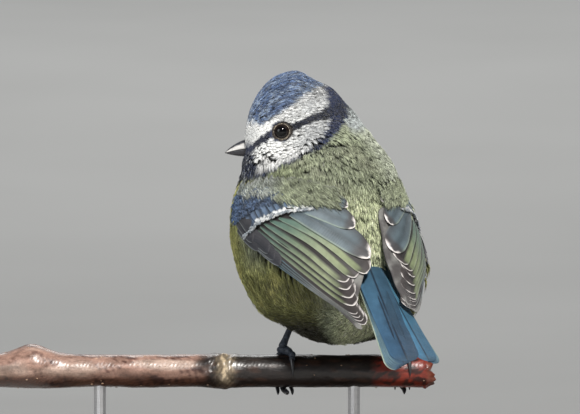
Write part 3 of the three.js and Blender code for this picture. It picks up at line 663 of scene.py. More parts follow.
TOES = [(-1.7, 2, 136, 184, 0.44, 0.3), (-0.1, 2, 154, 208, 0.62, 1.0), (1.6, 2, 136, 184, 0.44, 0.6), (2.1, -2, -54, -107, 0.56, 0.2)]
leg_parts, claw_parts = [], []
for i in range(2):
    fx = (0.9, 30.2)[i]
    a, k = ANKLE[i], KNEE[i]
    n = 60
    u = np.linspace(0, 1, n)
    low = a - 0.06 * (k - a)
    P = low + np.outer(u, k - low)
    r = np.interp(u, [0, 0.05, 0.12, 0.3, 0.7, 0.92, 1], [1.15, 1.08, 0.92, 0.80, 0.80, 0.95, 1.1])
    # broad overlapping scutes down the front of the tarsus
    scute = lambda q, b: 0.075 * np.abs(np.sin(np.pi * q * 13)) ** 0.5 * (0.35 + 0.65 * (np.sin(b) > -0.2)) - 0.04
    leg_parts.append(path_tube(P, r, 18, scute, 0.92))
    for dx, a0, a1, ac, cr, drift in TOES:
        if i and a1 > 0:
            a1, ac = a1 - 24, ac - 40
        rt = lambda q: TOE * (1.30 - 0.48 * q) * (1 + 0.15 * np.cos(q * 6 * np.pi))
        P = toe_path(fx, fx + dx, a0, a1, 54, rt)
        ring = lambda q, b: 0.085 * np.abs(np.sin(np.pi * q * 15)) ** 0.6 * (np.cos(b) > -0.35) - 0.02
        leg_parts.append(path_tube(P, rt(np.linspace(0, 1, 54)), 16, ring))
        sg = 1 if a1 > 0 else -1
        rc = (lambda q: cr * (1 - q ** 3.0) + 0.07) if sg > 0 else (lambda q: cr * (1 - q) ** 0.8 + 0.05)
        P = toe_path(fx + dx, fx + dx + drift, a1 - 3.0 * sg, ac, 26, rc, (lambda q: 0.20 + 1.5 * q * q) if sg > 0 else (lambda q: 0.15 + 0.10 * q))
        claw_parts.append(path_tube(P, rc(np.linspace(0, 1, 26)), 12, None))
    # sole pad and knuckles where the toes meet
    th = np.linspace(0, np.pi, 16)
    pad = [np.array([fx, 0.1, AXIS + GRIP + 1.15]) + np.stack([1.72 * math.sin(t) * np.cos(np.linspace(0, 6.283, 20, endpoint=False)),
           1.8 * math.sin(t) * np.sin(np.linspace(0, 6.283, 20, endpoint=False)), np.full(20, -1.2 * math.cos(t))], -1) for t in th[1:-1]]
    leg_parts.append(loft(pad))


# --------------------------------------------------------------------- lids
EYE_R = 2.25
skin_tree = BVHTree.FromPolygons(skin_V.tolist(), OUT_F.tolist())
lid_parts = []
for i in range(2):
    o = EYE_OUT[i]
    f = unit(HF - o * (HF @ o)); g = np.cross(o, f)
    for rad, out, r0, lobes in ((1.93, 1.20, 0.12, 23), (2.20, 0.98, 0.24, 31)):
        a = np.linspace(0, 2 * np.pi, 120, endpoint=False)
        rings = []
        for t in a:
            d = f * math.cos(t) + g * math.sin(t)
            # the lower lid is fuller; both lids draw to a point fore and aft
            rr = rad * (1 + 0.035 * math.cos(2 * t))
            c = EYE_C[i] + o * out + d * rr
            q = r0 * (1 + 0.22 * math.sin(lobes * t) + 0.14 * math.sin(7 * t + 1) + 0.10 * math.sin(t))
            b = np.linspace(0, 2 * np.pi, 10, endpoint=False)
            rings.append(c + np.outer(q * np.cos(b), d) + np.outer(q * np.sin(b), o))
        V, F = loft(rings + [rings[0]], closed=False)
        n = len(rings) * 10
        F = np.where(F >= n, F - n, F)
        V = V[:n]
        t3 = V[F]
        if np.einsum("ij,ij->i", t3[:, 0] - V.mean(0), np.cross(t3[:, 1] - V.mean(0), t3[:, 2] - V.mean(0))).sum() < 0:
            F = F[:, ::-1]
        lid_parts.append((V, F))
LID_V = np.concatenate([v for v, _ in lid_parts])
LEG_V = np.concatenate([v for v, _ in leg_parts])


# --------------------------------------------------------------- skin object
def tree_of(parts):
    V, F = join(parts)
    return BVHTree.FromPolygons(V.tolist(), F.tolist())


def distances(tree, P):
    out = np.full(len(P), 1e3)
    for i, p in enumerate(P.tolist()):
        h = tree.find_nearest(p)
        if h[0] is not None:
            out[i] = h[3]
    return out


LEG_C = np.array([0.045, 0.057, 0.080])
LID_C = np.array([0.30, 0.26, 0.20])


def skin_colour(V):
    col = plumage(V) * 0.55
    near = (V[:, 2] < AXIS + 21)
    leg = np.zeros(len(V))
    if near.any():
        d = distances(tree_of(leg_parts), V[near])
        leg[near] = (d < 0.02)
    col = mixc(col, LEG_C, leg)
    lid = np.zeros(len(V))
    e = np.minimum(np.linalg.norm(V - EYE_C[0], axis=1), np.linalg.norm(V - EYE_C[1], axis=1))
    near = e < 3.4
    if near.any():
        d = distances(tree_of(lid_parts), V[near])
        lid[near] = 1 - sm(0.0, 0.5, d)
    shade = 0.8 + 0.35 * wave(V, 1.4, 77)
    ring = np.minimum(*(np.where(h > 0, rho, 9.0) for h, rho in (eye_offsets(V, 0), eye_offsets(V, 1))))
    flesh = mixc(LID_C, np.array([0.045, 0.036, 0.030]), sm(2.0, 2.12, ring + 0.10 * wave(V, 1.1, 78)))
    flesh = mixc(flesh, np.array([0.06, 0.045, 0.035]), sm(0.1, 0.6, wave(V, 0.9, 79)))
    col = mixc(col, flesh, lid)
    return col * np.where(leg + lid > 0.5, np.clip(shade, 0.45, 1.4), 1.0)[:, None]


# Skin, legs and lids are joined into one solid by boolean union.
def union(name, parts_a, more, cut=None):
    base = new_mesh(name + "_a", *parts_a)
    for k, (v, f) in enumerate(more):
        o = new_mesh(name + "_m%d" % k, v, f)
        m = base.modifiers.new("u%d" % k, "BOOLEAN")
        m.operation = "UNION"; m.object = o
        m.solver = "MANIFOLD"
        o.hide_render = True
    me = evaluated(base)
    V, F = mesh_arrays(me)
    for o in [o for o in bpy.data.objects if o.name.startswith(name + "_")]:
        bpy.data.objects.remove(o, do_unlink=True)
    return V, F


def merged_skin():
    try:
        V, F = union("sk", (skin_V, OUT_F), leg_parts + lid_parts)
        ext = V.max(0) - V.min(0)
        if len(V) > 0.8 * len(skin_V) and V[:, 2].min() < AXIS:
            return V, F
    except (TypeError, RuntimeError):
        pass
    return join([(skin_V, OUT_F)] + leg_parts + lid_parts)


SKIN_V, SKIN_F = merged_skin()
skin = new_mesh("skin", SKIN_V, SKIN_F, skin_colour(SKIN_V))
print("skin", len(SKIN_V), len(SKIN_F))


def skin_material():
    m, nt, b = material("skin", 0.55, 0.0, 0.35)
    a = nt.nodes.new("ShaderNodeAttribute"); a.attribute_name = "Col"
    tc = nt.nodes.new("ShaderNodeTexCoord")
    vo = node(nt, "ShaderNodeTexVoronoi", Scale=2600.0)
    nt.links.new(tc.outputs["Object"], vo.inputs["Vector"])
    no = node(nt, "ShaderNodeTexNoise", Scale=1500.0, Detail=4.0)
    nt.links.new(tc.outputs["Object"], no.inputs["Vector"])
    r = ramp(nt, [(0.0, (1.15,) * 3), (0.55, (0.7,) * 3)], vo.outputs["Distance"])
    nt.links.new(mul(nt, a.outputs["Color"], r.outputs[0]), b.inputs["Base Color"])
    rr = ramp(nt, [(0.3, (0.42,) * 3), (0.7, (0.66,) * 3)], no.outputs["Fac"])
    nt.links.new(rr.outputs[0], b.inputs["Roughness"])
    bu = node(nt, "ShaderNodeBump", Strength=0.5, Distance=0.00012); bu.invert = True
    nt.links.new(vo.outputs["Distance"], bu.inputs["Height"])
    nt.links.new(bu.outputs[0], b.inputs["Normal"])
    return m


skin.data.materials.append(skin_material())
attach(skin, "root")
FLESH = [n for n in ("trunk", "neck", "head", "thigh_l", "thigh_r", "shank_l", "shank_r", "foot_l", "foot_r") if n in NODES]
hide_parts(*FLESH)

# -------------------------------------------------------------------- claws
V, F = join(claw_parts)
claws = new_mesh("claws", V, F)
m, nt, b = material("claw_horn", 0.38, 0.0, 0.5)
tc = nt.nodes.new("ShaderNodeTexCoord")
no = node(nt, "ShaderNodeTexNoise", Scale=900.0, Detail=3.0)
nt.links.new(tc.outputs["Object"], no.inputs["Vector"])
r = ramp(nt, [(0.3, (0.012, 0.013, 0.017)), (0.75, (0.035, 0.036, 0.040))], no.outputs["Fac"])
nt.links.new(r.outputs[0], b.inputs["Base Color"])
bu = node(nt, "ShaderNodeBump", Strength=0.2, Distance=0.00005)
nt.links.new(no.outputs["Fac"], bu.inputs["Height"]); nt.links.new(bu.outputs[0], b.inputs["Normal"])
claws.data.materials.append(m)
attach(claws, "root")
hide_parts(*[n for n in NODES if n.startswith("claw_")])


# --------------------------------------------------------------------- eyes
def eye_ball(i):
    o = EYE_OUT[i]
    f = unit(HF - o * (HF @ o)); g = np.cross(o, f)
    rings, uvr = [], []
    a = np.linspace(0, 2 * np.pi, 64, endpoint=False)
    for th in np.linspace(0.01, np.pi - 0.01, 48):
        # the clear front bulges a little over the iris
        r = EYE_R * (1 + 0.05 * math.exp(-(th / 0.55) ** 4))
        rings.append(EYE_C[i] + o * (r * math.cos(th)) + np.outer(r * math.sin(th) * np.cos(a), f) + np.outer(r * math.sin(th) * np.sin(a), g))
    return loft(rings)


for i, tag in enumerate("lr"):
    V, F = eye_ball(i)
    d = (V - EYE_C[i]) @ EYE_OUT[i] / EYE_R
    ang = np.degrees(np.arccos(np.clip(d / np.maximum(np.linalg.norm(V - EYE_C[i], axis=1) / EYE_R, 1e-6), -1, 1)))
    col = mixc(np.array([0.0012, 0.0012, 0.0014]), np.array([0.010, 0.006, 0.0045]), sm(33, 37, ang))
    col = mixc(col, np.array([0.006, 0.005, 0.005]), sm(48, 56, ang))
    ob = new_mesh("eyeball_" + tag, V, F, col)
    m, nt, b = material("eye_" + tag, 0.05, 0.0, 0.25, 0.12)
    b.inputs["Coat Roughness"].default_value = 0.02
    a = nt.nodes.new("ShaderNodeAttribute"); a.attribute_name = "Col"
    tc = nt.nodes.new("ShaderNodeTexCoord")
    no = node(nt, "ShaderNodeTexNoise", Scale=2600.0, Detail=3.0)
    nt.links.new(tc.outputs["Object"], no.inputs["Vector"])
    r = ramp(nt, [(0.3, (0.6,) * 3), (0.7, (1.25,) * 3)], no.outputs["Fac"])
    nt.links.new(mul(nt, a.outputs["Color"], r.outputs[0]), b.inputs["Base Color"])
    ob.data.materials.append(m)
    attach(ob, "root"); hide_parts("eye_" + tag)


# --------------------------------------------------------------------- bill
def bill_line(s):
    return in_head(np.atleast_1d(s), np.zeros(np.size(s)), -2.95 + 0.80 * (np.atleast_1d(s) - 12) / 6.5)


def bill_half(upper, n=44, k=25):
    u = np.linspace(0, 1, n) ** 0.85
    s = 10.0 + (18.6 - 10.0) * u
    ur = np.clip((s - 10.6) / 8.0, 0, 1)
    r = np.maximum(0.03, 1 - ur ** 1.6)
    h = (2.75 if upper else 2.15) * r ** (0.85 if upper else 0.75) + 0.06
    w = 2.15 * r ** 0.85 + 0.08
    P = bill_line(s)
    droop = 0.30 * ur ** 3 if upper else 0.15 * ur ** 3
    rings = []
    for i in range(n):
        a = np.linspace(0, np.pi, k)
        ca, sa = np.cos(a), np.sin(a)
        # cutting edge turns in slightly; the ridge of the culmen is narrower
        y = w[i] * np.sign(ca) * np.abs(ca) ** (0.9 if upper else 1.0) * (1 - 0.10 * sa)
        z = h[i] * sa ** (0.92 if upper else 0.85)
        sgn = 1 if upper else -1
        body = P[i] + np.outer(y, HL) + np.outer(sgn * z + (0.03 if upper else -0.03) - droop[i], HU)
        b = np.linspace(np.pi, 0, 9)[1:-1]
        y2 = w[i] * 0.9 * np.cos(b)
        under = P[i] + np.outer(y2, HL) + np.outer(np.full(len(b), sgn * 0.10 - droop[i]), HU)
        rings.append(np.concatenate([body, under]))
    return loft(rings)


for upper in (True, False):
    V, F = bill_half(upper)
    s, y, t = head_coords(V)
    line = -2.95 + 0.80 * (s - 12) / 6.5
    ur = np.clip((s - 10.6) / 8.0, 0, 1)
    r = np.maximum(0.03, 1 - ur ** 1.6)
    if upper:
        f = np.clip((t - line + 0.3 * ur ** 3) / (2.75 * r ** 0.85 + 0.06), 0, 1)
        # pale sides of the upper mandible: partly the horn's own paler tone, partly painted highlight
        col = mixc(np.array([0.58, 0.57, 0.55]), np.array([0.035, 0.036, 0.045]), sm(0.58, 0.80, f + 0.05 * wave(V, 0.5, 3)))
        col = mixc(col, np.array([0.03, 0.03, 0.035]), 1 - sm(0.02, 0.12, f))
        col = mixc(col, np.array([0.13, 0.13, 0.14]), 1 - sm(0.0, 0.35, ur))
    else:
        f = np.clip((line - t - 0.15 * ur ** 3) / (2.15 * r ** 0.75 + 0.06), 0, 1)
        col = mixc(np.array([0.028, 0.028, 0.034]), np.array([0.085, 0.085, 0.095]), sm(0.25, 0.8, f))
    ob = new_mesh("bill_top" if upper else "bill_base", V, F, col)
    m, nt, b = material("bill_horn_u" if upper else "bill_horn_l", 0.30, 0.0, 0.5)
    a = nt.nodes.new("ShaderNodeAttribute"); a.attribute_name = "Col"
    tc = nt.nodes.new("ShaderNodeTexCoord")
    no = node(nt, "ShaderNodeTexNoise", Scale=1200.0, Detail=5.0, Roughness=0.6)
    nt.links.new(tc.outputs["Object"], no.inputs["Vector"])
    r2 = ramp(nt, [(0.3, (0.72,) * 3), (0.7, (1.0,) * 3)], no.outputs["Fac"])
    nt.links.new(mul(nt, a.outputs["Color"], r2.outputs[0]), b.inputs["Base Color"])
    rr = ramp(nt, [(0.3, (0.22,) * 3), (0.7, (0.42,) * 3)], no.outputs["Fac"])
    nt.links.new(rr.outputs[0], b.inputs["Roughness"])
    bu = node(nt, "ShaderNodeBump", Strength=0.15, Distance=0.00005)
    nt.links.new(no.outputs["Fac"], bu.inputs["Height"]); nt.links.new(bu.outputs[0], b.inputs["Normal"])
    ob.data.materials.append(m)
    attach(ob, "root"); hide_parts("bill_upper" if upper else "bill_lower")


# --------------------------------------------------------------------- coat
out_tree = BVHTree.FromPolygons(OUT_V.tolist(), OUT_F.tolist())
OUT_N = eased(OUT_F, OUT_N)


def on_surface(P):
    """Nearest points of the plumage's surface, with its smooth normals."""
    Q = np.empty_like(P); I = np.empty(len(P), int)
    for i, p in enumerate(P.tolist()):
        h = out_tree.find_nearest(p)
        Q[i] = h[0]; I[i] = h[2]
    t = OUT_F[I]
    d = np.linalg.norm(OUT_V[t] - Q[:, None], axis=2) + 0.05
    w = (1 / d) / (1 / d).sum(1, keepdims=True)
    return Q, unit((OUT_N[t] * w[..., None]).sum(1))


def scatter(count, seed):
    """Random points over the plumage's surface, by area."""
    r = np.random.default_rng(seed)
    t = OUT_V[OUT_F]
    area = 0.5 * np.linalg.norm(np.cross(t[:, 1] - t[:, 0], t[:, 2] - t[:, 0]), axis=1)
    k = np.searchsorted(np.cumsum(area) / area.sum(), r.random(count))
    k = np.clip(k, 0, len(area) - 1)
    a, b = r.random(count), r.random(count)
    f = a + b > 1
    a[f], b[f] = 1 - a[f], 1 - b[f]
    P = t[k, 0] + a[:, None] * (t[k, 1] - t[k, 0]) + b[:, None] * (t[k, 2] - t[k, 0])
    n = OUT_N[OUT_F[k]]
    N = unit(n[:, 0] * (1 - a - b)[:, None] + n[:, 1] * a[:, None] + n[:, 2] * b[:, None])
    return P, N


def thinned(P, radius):
    """Keep points that are at least their own radius apart."""
    kd = KDTree(len(P))
    for i, p in enumerate(P.tolist()):
        kd.insert(p, i)
    kd.balance()
    alive = np.ones(len(P), bool)
    keep = []
    for i in range(len(P)):
        if not alive[i]:
            continue
        keep.append(i)
        for _, j, _ in kd.find_range(P[i].tolist(), float(radius[i])):
            alive[j] = False
    return np.array(keep)


def root_uv(P):
    """Unwrap of the bird's own shape: trunk by angle and height, head apart."""
    s, y, t = head_coords(P)
    r = np.sqrt(s * s + y * y + t * t)
    phi, c = trunk_coords(P)
    head = (r < 17.0) & (c > 47)
    ua = 0.01 + (phi + 180) / 360 * 0.60
    va = 0.02 + np.clip(c, 0, 70) / 70 * 0.94
    ub = 0.64 + (np.degrees(np.arctan2(y, t)) + 180) / 360 * 0.34
    vb = 0.02 + np.clip((s + 16) / 32, 0, 1) * 0.94
    return np.stack([np.where(head, ub, ua), np.where(head, vb, va)], -1)


def tufts(P0, N0, M, NM, Q, NQ, W, nb, bw, spread, colour, seed, wild=0.1, dark=0.35, jit=0.2, plate=1.0, barb_h=0.16, reach=(0.80, 1.10), begin=(0.2, 0.5), strand=1.0, base=1.0):
    """Feathers from roots P0 by way of M to tips Q: one leaf-shaped plate each, with nb loose barbs over it."""
    n = len(P0)
    r = np.random.default_rng(seed)
    T = unit(Q - P0)
    S = unit(np.cross(NM, T))
    W = np.broadcast_to(np.asarray(W, float), (n,))
    L = np.linalg.norm(Q - M, axis=1) + np.linalg.norm(M - P0, axis=1)

    def centre(u):
        u = u[..., None]
        return (P0[:, None] * (1 - u) * (1 - 2 * u) + M[:, None] * 4 * u * (1 - u) + Q[:, None] * u * (2 * u - 1))

    def normal(u):
        u = u[..., None]
        return unit(NM[:, None] * (1 - u) + NQ[:, None] * u)

    uv0 = root_uv(P0)
    tint = 1 + r.normal(size=n) * jit * 0.45
    Vs, Fs, Cs, Us = [], [], [], []
    # ---- plate
    us = np.array([0.0, 0.25, 0.48, 0.68, 0.85, 0.96])
    ws = np.array([0.25, 0.75, 1.0, 0.92, 0.62, 0.26]) * 0.5 * plate
    U = np.broadcast_to(us, (n, 6))
    C = centre(U); NN = normal(U)
    half = (W[:, None] * ws)[..., None] * S[:, None]
    ridge = np.array([0.04, 0.09, 0.11, 0.10, 0.07, 0.03])[None, :, None] * NN
    drop = NN * (0.10 * W[:, None] * ws)[..., None]
    rows = np.stack([C - half - drop, C + ridge, C + half - drop], 2)
    tip = centre(np.full((n, 1), 1.03))
    PV = np.concatenate([rows.reshape(n, 18, 3), tip], 1)
    f = []
    for k in range(5):
        a = 3 * k; b = a + 3
        for i, j in ((0, 1), (1, 2), (2, 0)):
            f += [(a + i, a + j, b + j), (a + i, b + j, b + i)]
    f += [(15, 16, 18), (16, 17, 18), (17, 15, 18), (0, 2, 1)]
    f = np.array(f)
    # the whole feather takes its colour from near its tip
    toward = lambda X, t_: t_ + 0.5 * (X - t_)
    col = colour(toward(PV, Q[:, None]).reshape(-1, 3), np.repeat(r.normal(size=n), 19) * 0.22).reshape(n, 19, 3)
    grain = r.normal(size=(n, 3)).clip(-2, 2)
    grain = np.concatenate([np.tile(grain, (1, 6)), grain.mean(1, keepdims=True)], 1)
    g = np.concatenate([np.repeat(us, 3), [1.0]])
    shade = dark + (1 - dark) * np.clip((g - 0.25) / 0.5, 0, 1) ** 0.8
    col = col * (base * shade[None] * tint[:, None] * (1 + 0.75 * jit * grain + 0.1 * jit * r.normal(size=(n, 19))))[..., None]
    uvp = np.stack([np.concatenate([np.tile([0.2, 0.5, 0.8], 6), [0.5]]), g], -1) * 0.003
    Vs.append(PV.reshape(-1, 3)); Cs.append(col.reshape(-1, 3))
    Us.append((uv0[:, None] + uvp[None]).reshape(-1, 2))
    Fs.append((f[None] + (np.arange(n) * 19)[:, None, None]).reshape(-1, 3))
    base = n * 19
    # ---- barbs
    if nb:
        ua = r.uniform(begin[0], begin[1], (n, nb)); ub = r.uniform(reach[0], reach[1], (n, nb)); um = ua + (ub - ua) * 0.55
        lane = (np.arange(nb) + 0.5) / nb * 2 - 1
        sa = (lane[None] * 0.45 + 0.2 * r.normal(size=(n, nb))) * W[:, None] * 0.5
        sb = sa * 1.1 + (lane[None] * spread + wild * r.normal(size=(n, nb)) * 2) * W[:, None] * 0.5
        sm_ = sa + (sb - sa) * 0.40
        hb = barb_h * r.random((n, nb)) + 0.05
        ht = barb_h * (0.1 + 1.1 * r.random((n, nb)) ** 1.5)
        pts = []
        for u, sl, h in ((ua, sa, 0.02 + 0 * hb), (um, sm_, hb), (ub, sb, ht)):
            pts.append(centre(u) + S[:, None] * sl[..., None] + normal(u) * h[..., None])
        A, B, D = pts
        NB_ = normal(um)
        bwn = (bw * (0.8 + 0.4 * r.random((n, nb))))[..., None]
        tw = r.uniform(-0.5, 0.5, (n, nb))[..., None]
        Sv = unit(S[:, None] + NB_ * tw)
        Nv = unit(NB_ - S[:, None] * tw)
        BV = np.stack([A - Sv * bwn * 0.35, A + Sv * bwn * 0.35, A + Nv * bwn * 0.45,
                       B - Sv * bwn * 0.5, B + Sv * bwn * 0.5, B + Nv * bwn * 0.55, D], 2)
        f = []
        for i, j in ((0, 1), (1, 2), (2, 0)):
            f += [(i, 3 + j, j), (i, 3 + i, 3 + j), (3 + i, 6, 3 + j)]
        f += [(0, 1, 2)]
        f = np.array(f)
        jt = np.repeat(r.normal(size=n * nb), 3) * 0.18
        cc = strand * colour(toward(np.stack([A, B, D], 2), Q[:, None, None]).reshape(-1, 3), jt).reshape(n, nb, 3, 3)
        bt = 1 + jit * np.clip(r.normal(size=(n, nb)), -2.2, 2.2)
        cc = cc * (tint[:, None] * bt)[..., None, None]
        cc[:, :, 0] *= dark; cc[:, :, 1] *= 0.5 + 0.5 * dark + 0.12
        cv = np.stack([cc[:, :, 0]] * 3 + [cc[:, :, 1]] * 3 + [cc[:, :, 2]], 2)
        gx = (sa / W[:, None] + 0.5)[..., None] * np.ones(7); gy = np.stack([ua] * 3 + [um] * 3 + [ub], 2)
        gx = gx + np.array([-0.02, 0.02, 0, -0.02, 0.02, 0, 0])
        Vs.append(BV.reshape(-1, 3)); Cs.append(cv.reshape(-1, 3))
        Us.append((uv0[:, None, None] + np.stack([np.clip(gx, 0, 1), np.clip(gy, 0, 1)], -1) * 0.003).reshape(-1, 2))
        Fs.append((f[None] + (base + np.arange(n * nb) * 7)[:, None, None]).reshape(-1, 3))
    return np.concatenate(Vs), np.concatenate(Fs), np.concatenate(Cs), np.concatenate(Us)


plume_mat = feather_material("plumage", 0.75, 0.18, 0.22, 2400.0, 0.30)
head_mat = feather_material("plumage_head", 0.72, 0.22, 0.22, 3000.0, 0.25)
COAT_TRIS = [0]


def coat_piece(name, data, mat):
    V, F, C, U = data
    ob = new_mesh(name, V, F, C, U)
    ob.data.materials.append(mat)
    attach(ob, "root")
    COAT_TRIS[0] += len(F)
    return ob


def inside(poly, x, y):
    """Even-odd test of points against a closed outline."""
    res = np.zeros(len(x), bool)
    n = len(poly)
    for i in range(n):
        (x0, y0), (x1, y1) = poly[i], poly[(i + 1) % n]
        cross = (y0 > y) != (y1 > y)
        with np.errstate(divide="ignore", invalid="ignore"):
            xi = x0 + (y - y0) * (x1 - x0) / ((y1 - y0) if y1 != y0 else 1e-9)
        res ^= cross & (x < xi)
    return res


LEADING = [(95, 41.5), (93.8, 38.5), (82.9, 33.75), (72.5, 28.25), (64.2, 26.5),
           (54.6, 23.75), (46.6, 19.75), (41.2, 15), (36.6, 11.6), (34.5, 10.9)]
INNER = [(91, 44.25), (77, 45.6), (57.6, 44.6), (39.9, 43.4), (19.5, 42.0),
         (8.8, 39), (5.0, 33.5), (6.0, 27.5), (16.0, 21.5), (27.0, 17), (31.6, 12.2), (33.0, 10.9)]
R_LEADING = [(95, 41.5), (93.8, 38.5), (82.9, 33.75), (72.5, 28.25), (64.2, 26.5),
             (55.6, 24.75), (46.6, 22.2), (33.0, 18.6), (22.0, 16.2), (15.4, 15.1)]
R_INNER = [(91, 44.25), (77, 45.6), (57.6, 44.6), (39.9, 43.4), (20.5, 42.3),
           (9.2, 40.2), (6.4, 34.4), (3.8, 28.7), (5.6, 24.6), (6.6, 20.5), (8.6, 16.4), (13.2, 15.1)]


def under_wing(P):
    phi, c = trunk_coords(P)
    hid = np.ones(len(P), bool)
    for dx, dy in ((4.5, 0), (-4.5, 0), (0, 2.2), (0, -2.2)):
        q = np.where(phi > 0, inside(LEADING + INNER[::-1], phi + dx, c + dy),
                     inside(R_LEADING + R_INNER[::-1], -phi + dx, c + dy))
        hid &= q
    return hid & (c > 25) & (c < 43)


def lie(P, N):
    """Direction in which the feathers lie."""
    s, y, t = head_coords(P)
    phi, c = trunk_coords(P)
    r = np.sqrt(s * s + (y * 1.1) ** 2 + t * t)
    w = sm(13.0, 18.5, r)[:, None]
    head = -HF + np.array([0, 0, -0.10]) + np.outer(np.clip(-t / 9, -0.2, 0.9) * sm(-2, 6, -t), -HU * 0.25)
    # behind the eye the ear feathers sweep down a little
    body = np.tile([0.10, -0.30, -1.0], (len(P), 1))
    low = (1 - sm(11, 26, c))[:, None]
    front = sm(60, 150, np.abs(phi))[:, None]
    vent = np.array([0.35, -0.85, -0.42])
    body = body * (1 - low) + vent * low
    body = body + front * (1 - low) * np.array([0.18, -0.30, 0.0])
    # shoulders: over the top of the wing the lie turns in towards the back
    shoulder = (sm(35, 80, np.abs(phi)) * (1 - sm(100, 130, np.abs(phi))) * sm(38, 44, c) * (1 - sm(49, 55, c)))[:, None]
    inward = np.stack([np.sign(phi) * CT, np.sign(phi) * ST, 0 * phi], -1)
    body = body + shoulder * inward * 1.3
    d = head * (1 - w) + unit(body) * w
    d = d + (0.03 + 0.07 * w) * np.stack([wave(P, 0.10, 51), wave(P, 0.10, 52), wave(P, 0.10, 53)], -1)
    return unit(d - N * (d * N).sum(1, keepdims=True))


def skin_points():
    P, N = scatter(150000, 3)
    s, y, t = head_coords(P)
    phi, c = trunk_coords(P)
    r = np.sqrt(s * s + (y * 1.1) ** 2 + t * t)
    head = 1 - sm(15.0, 18.5, r)
    face = sm(3.5, 11.5, s) * head
    e = np.minimum(np.linalg.norm(P - (EYE_C[0] + EYE_OUT[0] * 2.0), axis=1), np.linalg.norm(P - (EYE_C[1] + EYE_OUT[1] * 2.0), axis=1))
    eye = 1 - sm(2.4, 4.6, e)
    rad = 1.02 - 0.51 * head - 0.15 * face
    rad = rad * (1 - 0.25 * eye)
    rad = rad / math.sqrt(DENS)
    ok = ~under_wing(P) & (e > 2.0)
    bill = (s > 10.2) & (np.hypot(y / 2.35, (t + 2.75) / np.where(t > -2.75, 2.75, 2.3)) < 1.0)
    ok &= ~bill
    tr = (P - TAIL_ROOT) @ TAIL_DIR
    ok &= ~(tr > 12.6)
    P, N, rad, head, face, eye = (a[ok] for a in (P, N, rad, head, face, eye))
    k = thinned(P, rad)
    return P[k], N[k], head[k], face[k], eye[k]


P, N, HEADW, FACEW, EYEW = skin_points()
T = lie(P, N)
s, y, t = head_coords(P)
phi, c = trunk_coords(P)
ap = np.abs(phi)
rr = np.random.default_rng(21)
# length of the feathers by region
under = sm(80, 115, ap)
LEN = 5.6 + 1.4 * under + 1.2 * (1 - sm(18, 30, c)) - 0.6 * sm(46, 58, c)
hl_ = 2.3 + 1.1 * (1 - sm(-12, -6, s)) + 1.5 * sm(2.5, 6, t)
hl_ = hl_ - 1.05 * sm(4.5, 12.0, s) - 0.3 * (1 - sm(-6, -2, t)) * sm(0, 6, s)
LEN = LEN * (1 - HEADW) + hl_ * HEADW
LEN = LEN * (1 - 0.45 * EYEW)
LEN = LEN * (0.85 + 0.3 * rr.random(len(P)))
WID = (1.95 + 0.35 * under) * (1 - HEADW) + (1.0 - 0.10 * FACEW) * HEADW
WID = WID * (1 - 0.3 * EYEW)
DEP = coat_depth(P) * (0.72 - 0.30 * HEADW - 0.12 * FACEW * HEADW)
LIFT = 0.05 + 0.18 * rr.random(len(P)) * (1 - HEADW) + 0.02 * rr.random(len(P)) * HEADW - 0.03 * HEADW
fluff = under * (1 - sm(14, 34, c))
LIFT = LIFT + 0.55 * fluff * rr.random(len(P)) ** 2
# a few loose feathers stand out on the flank beyond the right wing
loose = (phi < -68) & (phi > -112) & (c > 20) & (c < 45) & (rr.random(len(P)) < 0.22)
LIFT = np.where(loose, LIFT + 1.3 * rr.random(len(P)), LIFT)
# feathers stop at the rim of the eyelids
ok = np.ones(len(P), bool)
for i in range(2):
    o = EYE_OUT[i]
    a = P - EYE_C[i]
    near = (np.linalg.norm(a, axis=1) < 10) & (a @ o > -1.0)
    a2 = a - np.outer(a @ o, o); T2 = T - np.outer(T @ o, o)
    qa = (T2 * T2).sum(1) + 1e-9; qb = (a2 * T2).sum(1); qc = (a2 * a2).sum(1) - 2.38 ** 2
    disc = qb * qb - qa * qc
    x1 = (-qb - np.sqrt(np.maximum(disc, 0))) / qa
    ok &= ~(near & (qc < 0))
    hit = near & (disc > 0) & (qb < 0) & (qc > 0)
    LEN = np.where(hit, np.minimum(LEN, 0.92 * x1), LEN)
ok &= LEN > 0.55
P, N, T, LEN, WID, DEP, LIFT, HEADW, FACEW, EYEW, s, y, t, phi, c, ap = (q[ok] for q in (P, N, T, LEN, WID, DEP, LIFT, HEADW, FACEW, EYEW, s, y, t, phi, c, ap))
DEP = np.minimum(DEP, 0.5 * LEN)
M, NM = on_surface(P + T * (0.5 * LEN)[:, None])
Q, NQ = on_surface(P + T * LEN[:, None])
M = M + NM * (-0.22 * DEP + 0.6 * LIFT)[:, None]
Q = Q + NQ * LIFT[:, None] + unit(Q - M) * (0.25 * LIFT)[:, None]
P0 = P - N * DEP[:, None]


def batches(idx, per):
    k = max(1, int(math.ceil(len(idx) / per)))
    return np.array_split(idx, k)


def dress(prefix, mask, key, nb, bw, spread, mat, slot, **kw):
    idx = np.nonzero(mask)[0]
    if not len(idx):
        return
    idx = idx[np.argsort(key[idx], kind="stable")]
    per = int(175000 / (34 + 10 * nb))
    for k, b in enumerate(batches(idx, per)):
        data = tufts(P0[b], N[b], M[b], NM[b], Q[b], NQ[b], WID[b], nb, bw, spread, plumage, 100 + k + len(prefix), **kw)
        coat_piece("%s_%d" % (prefix, k), data, mat)


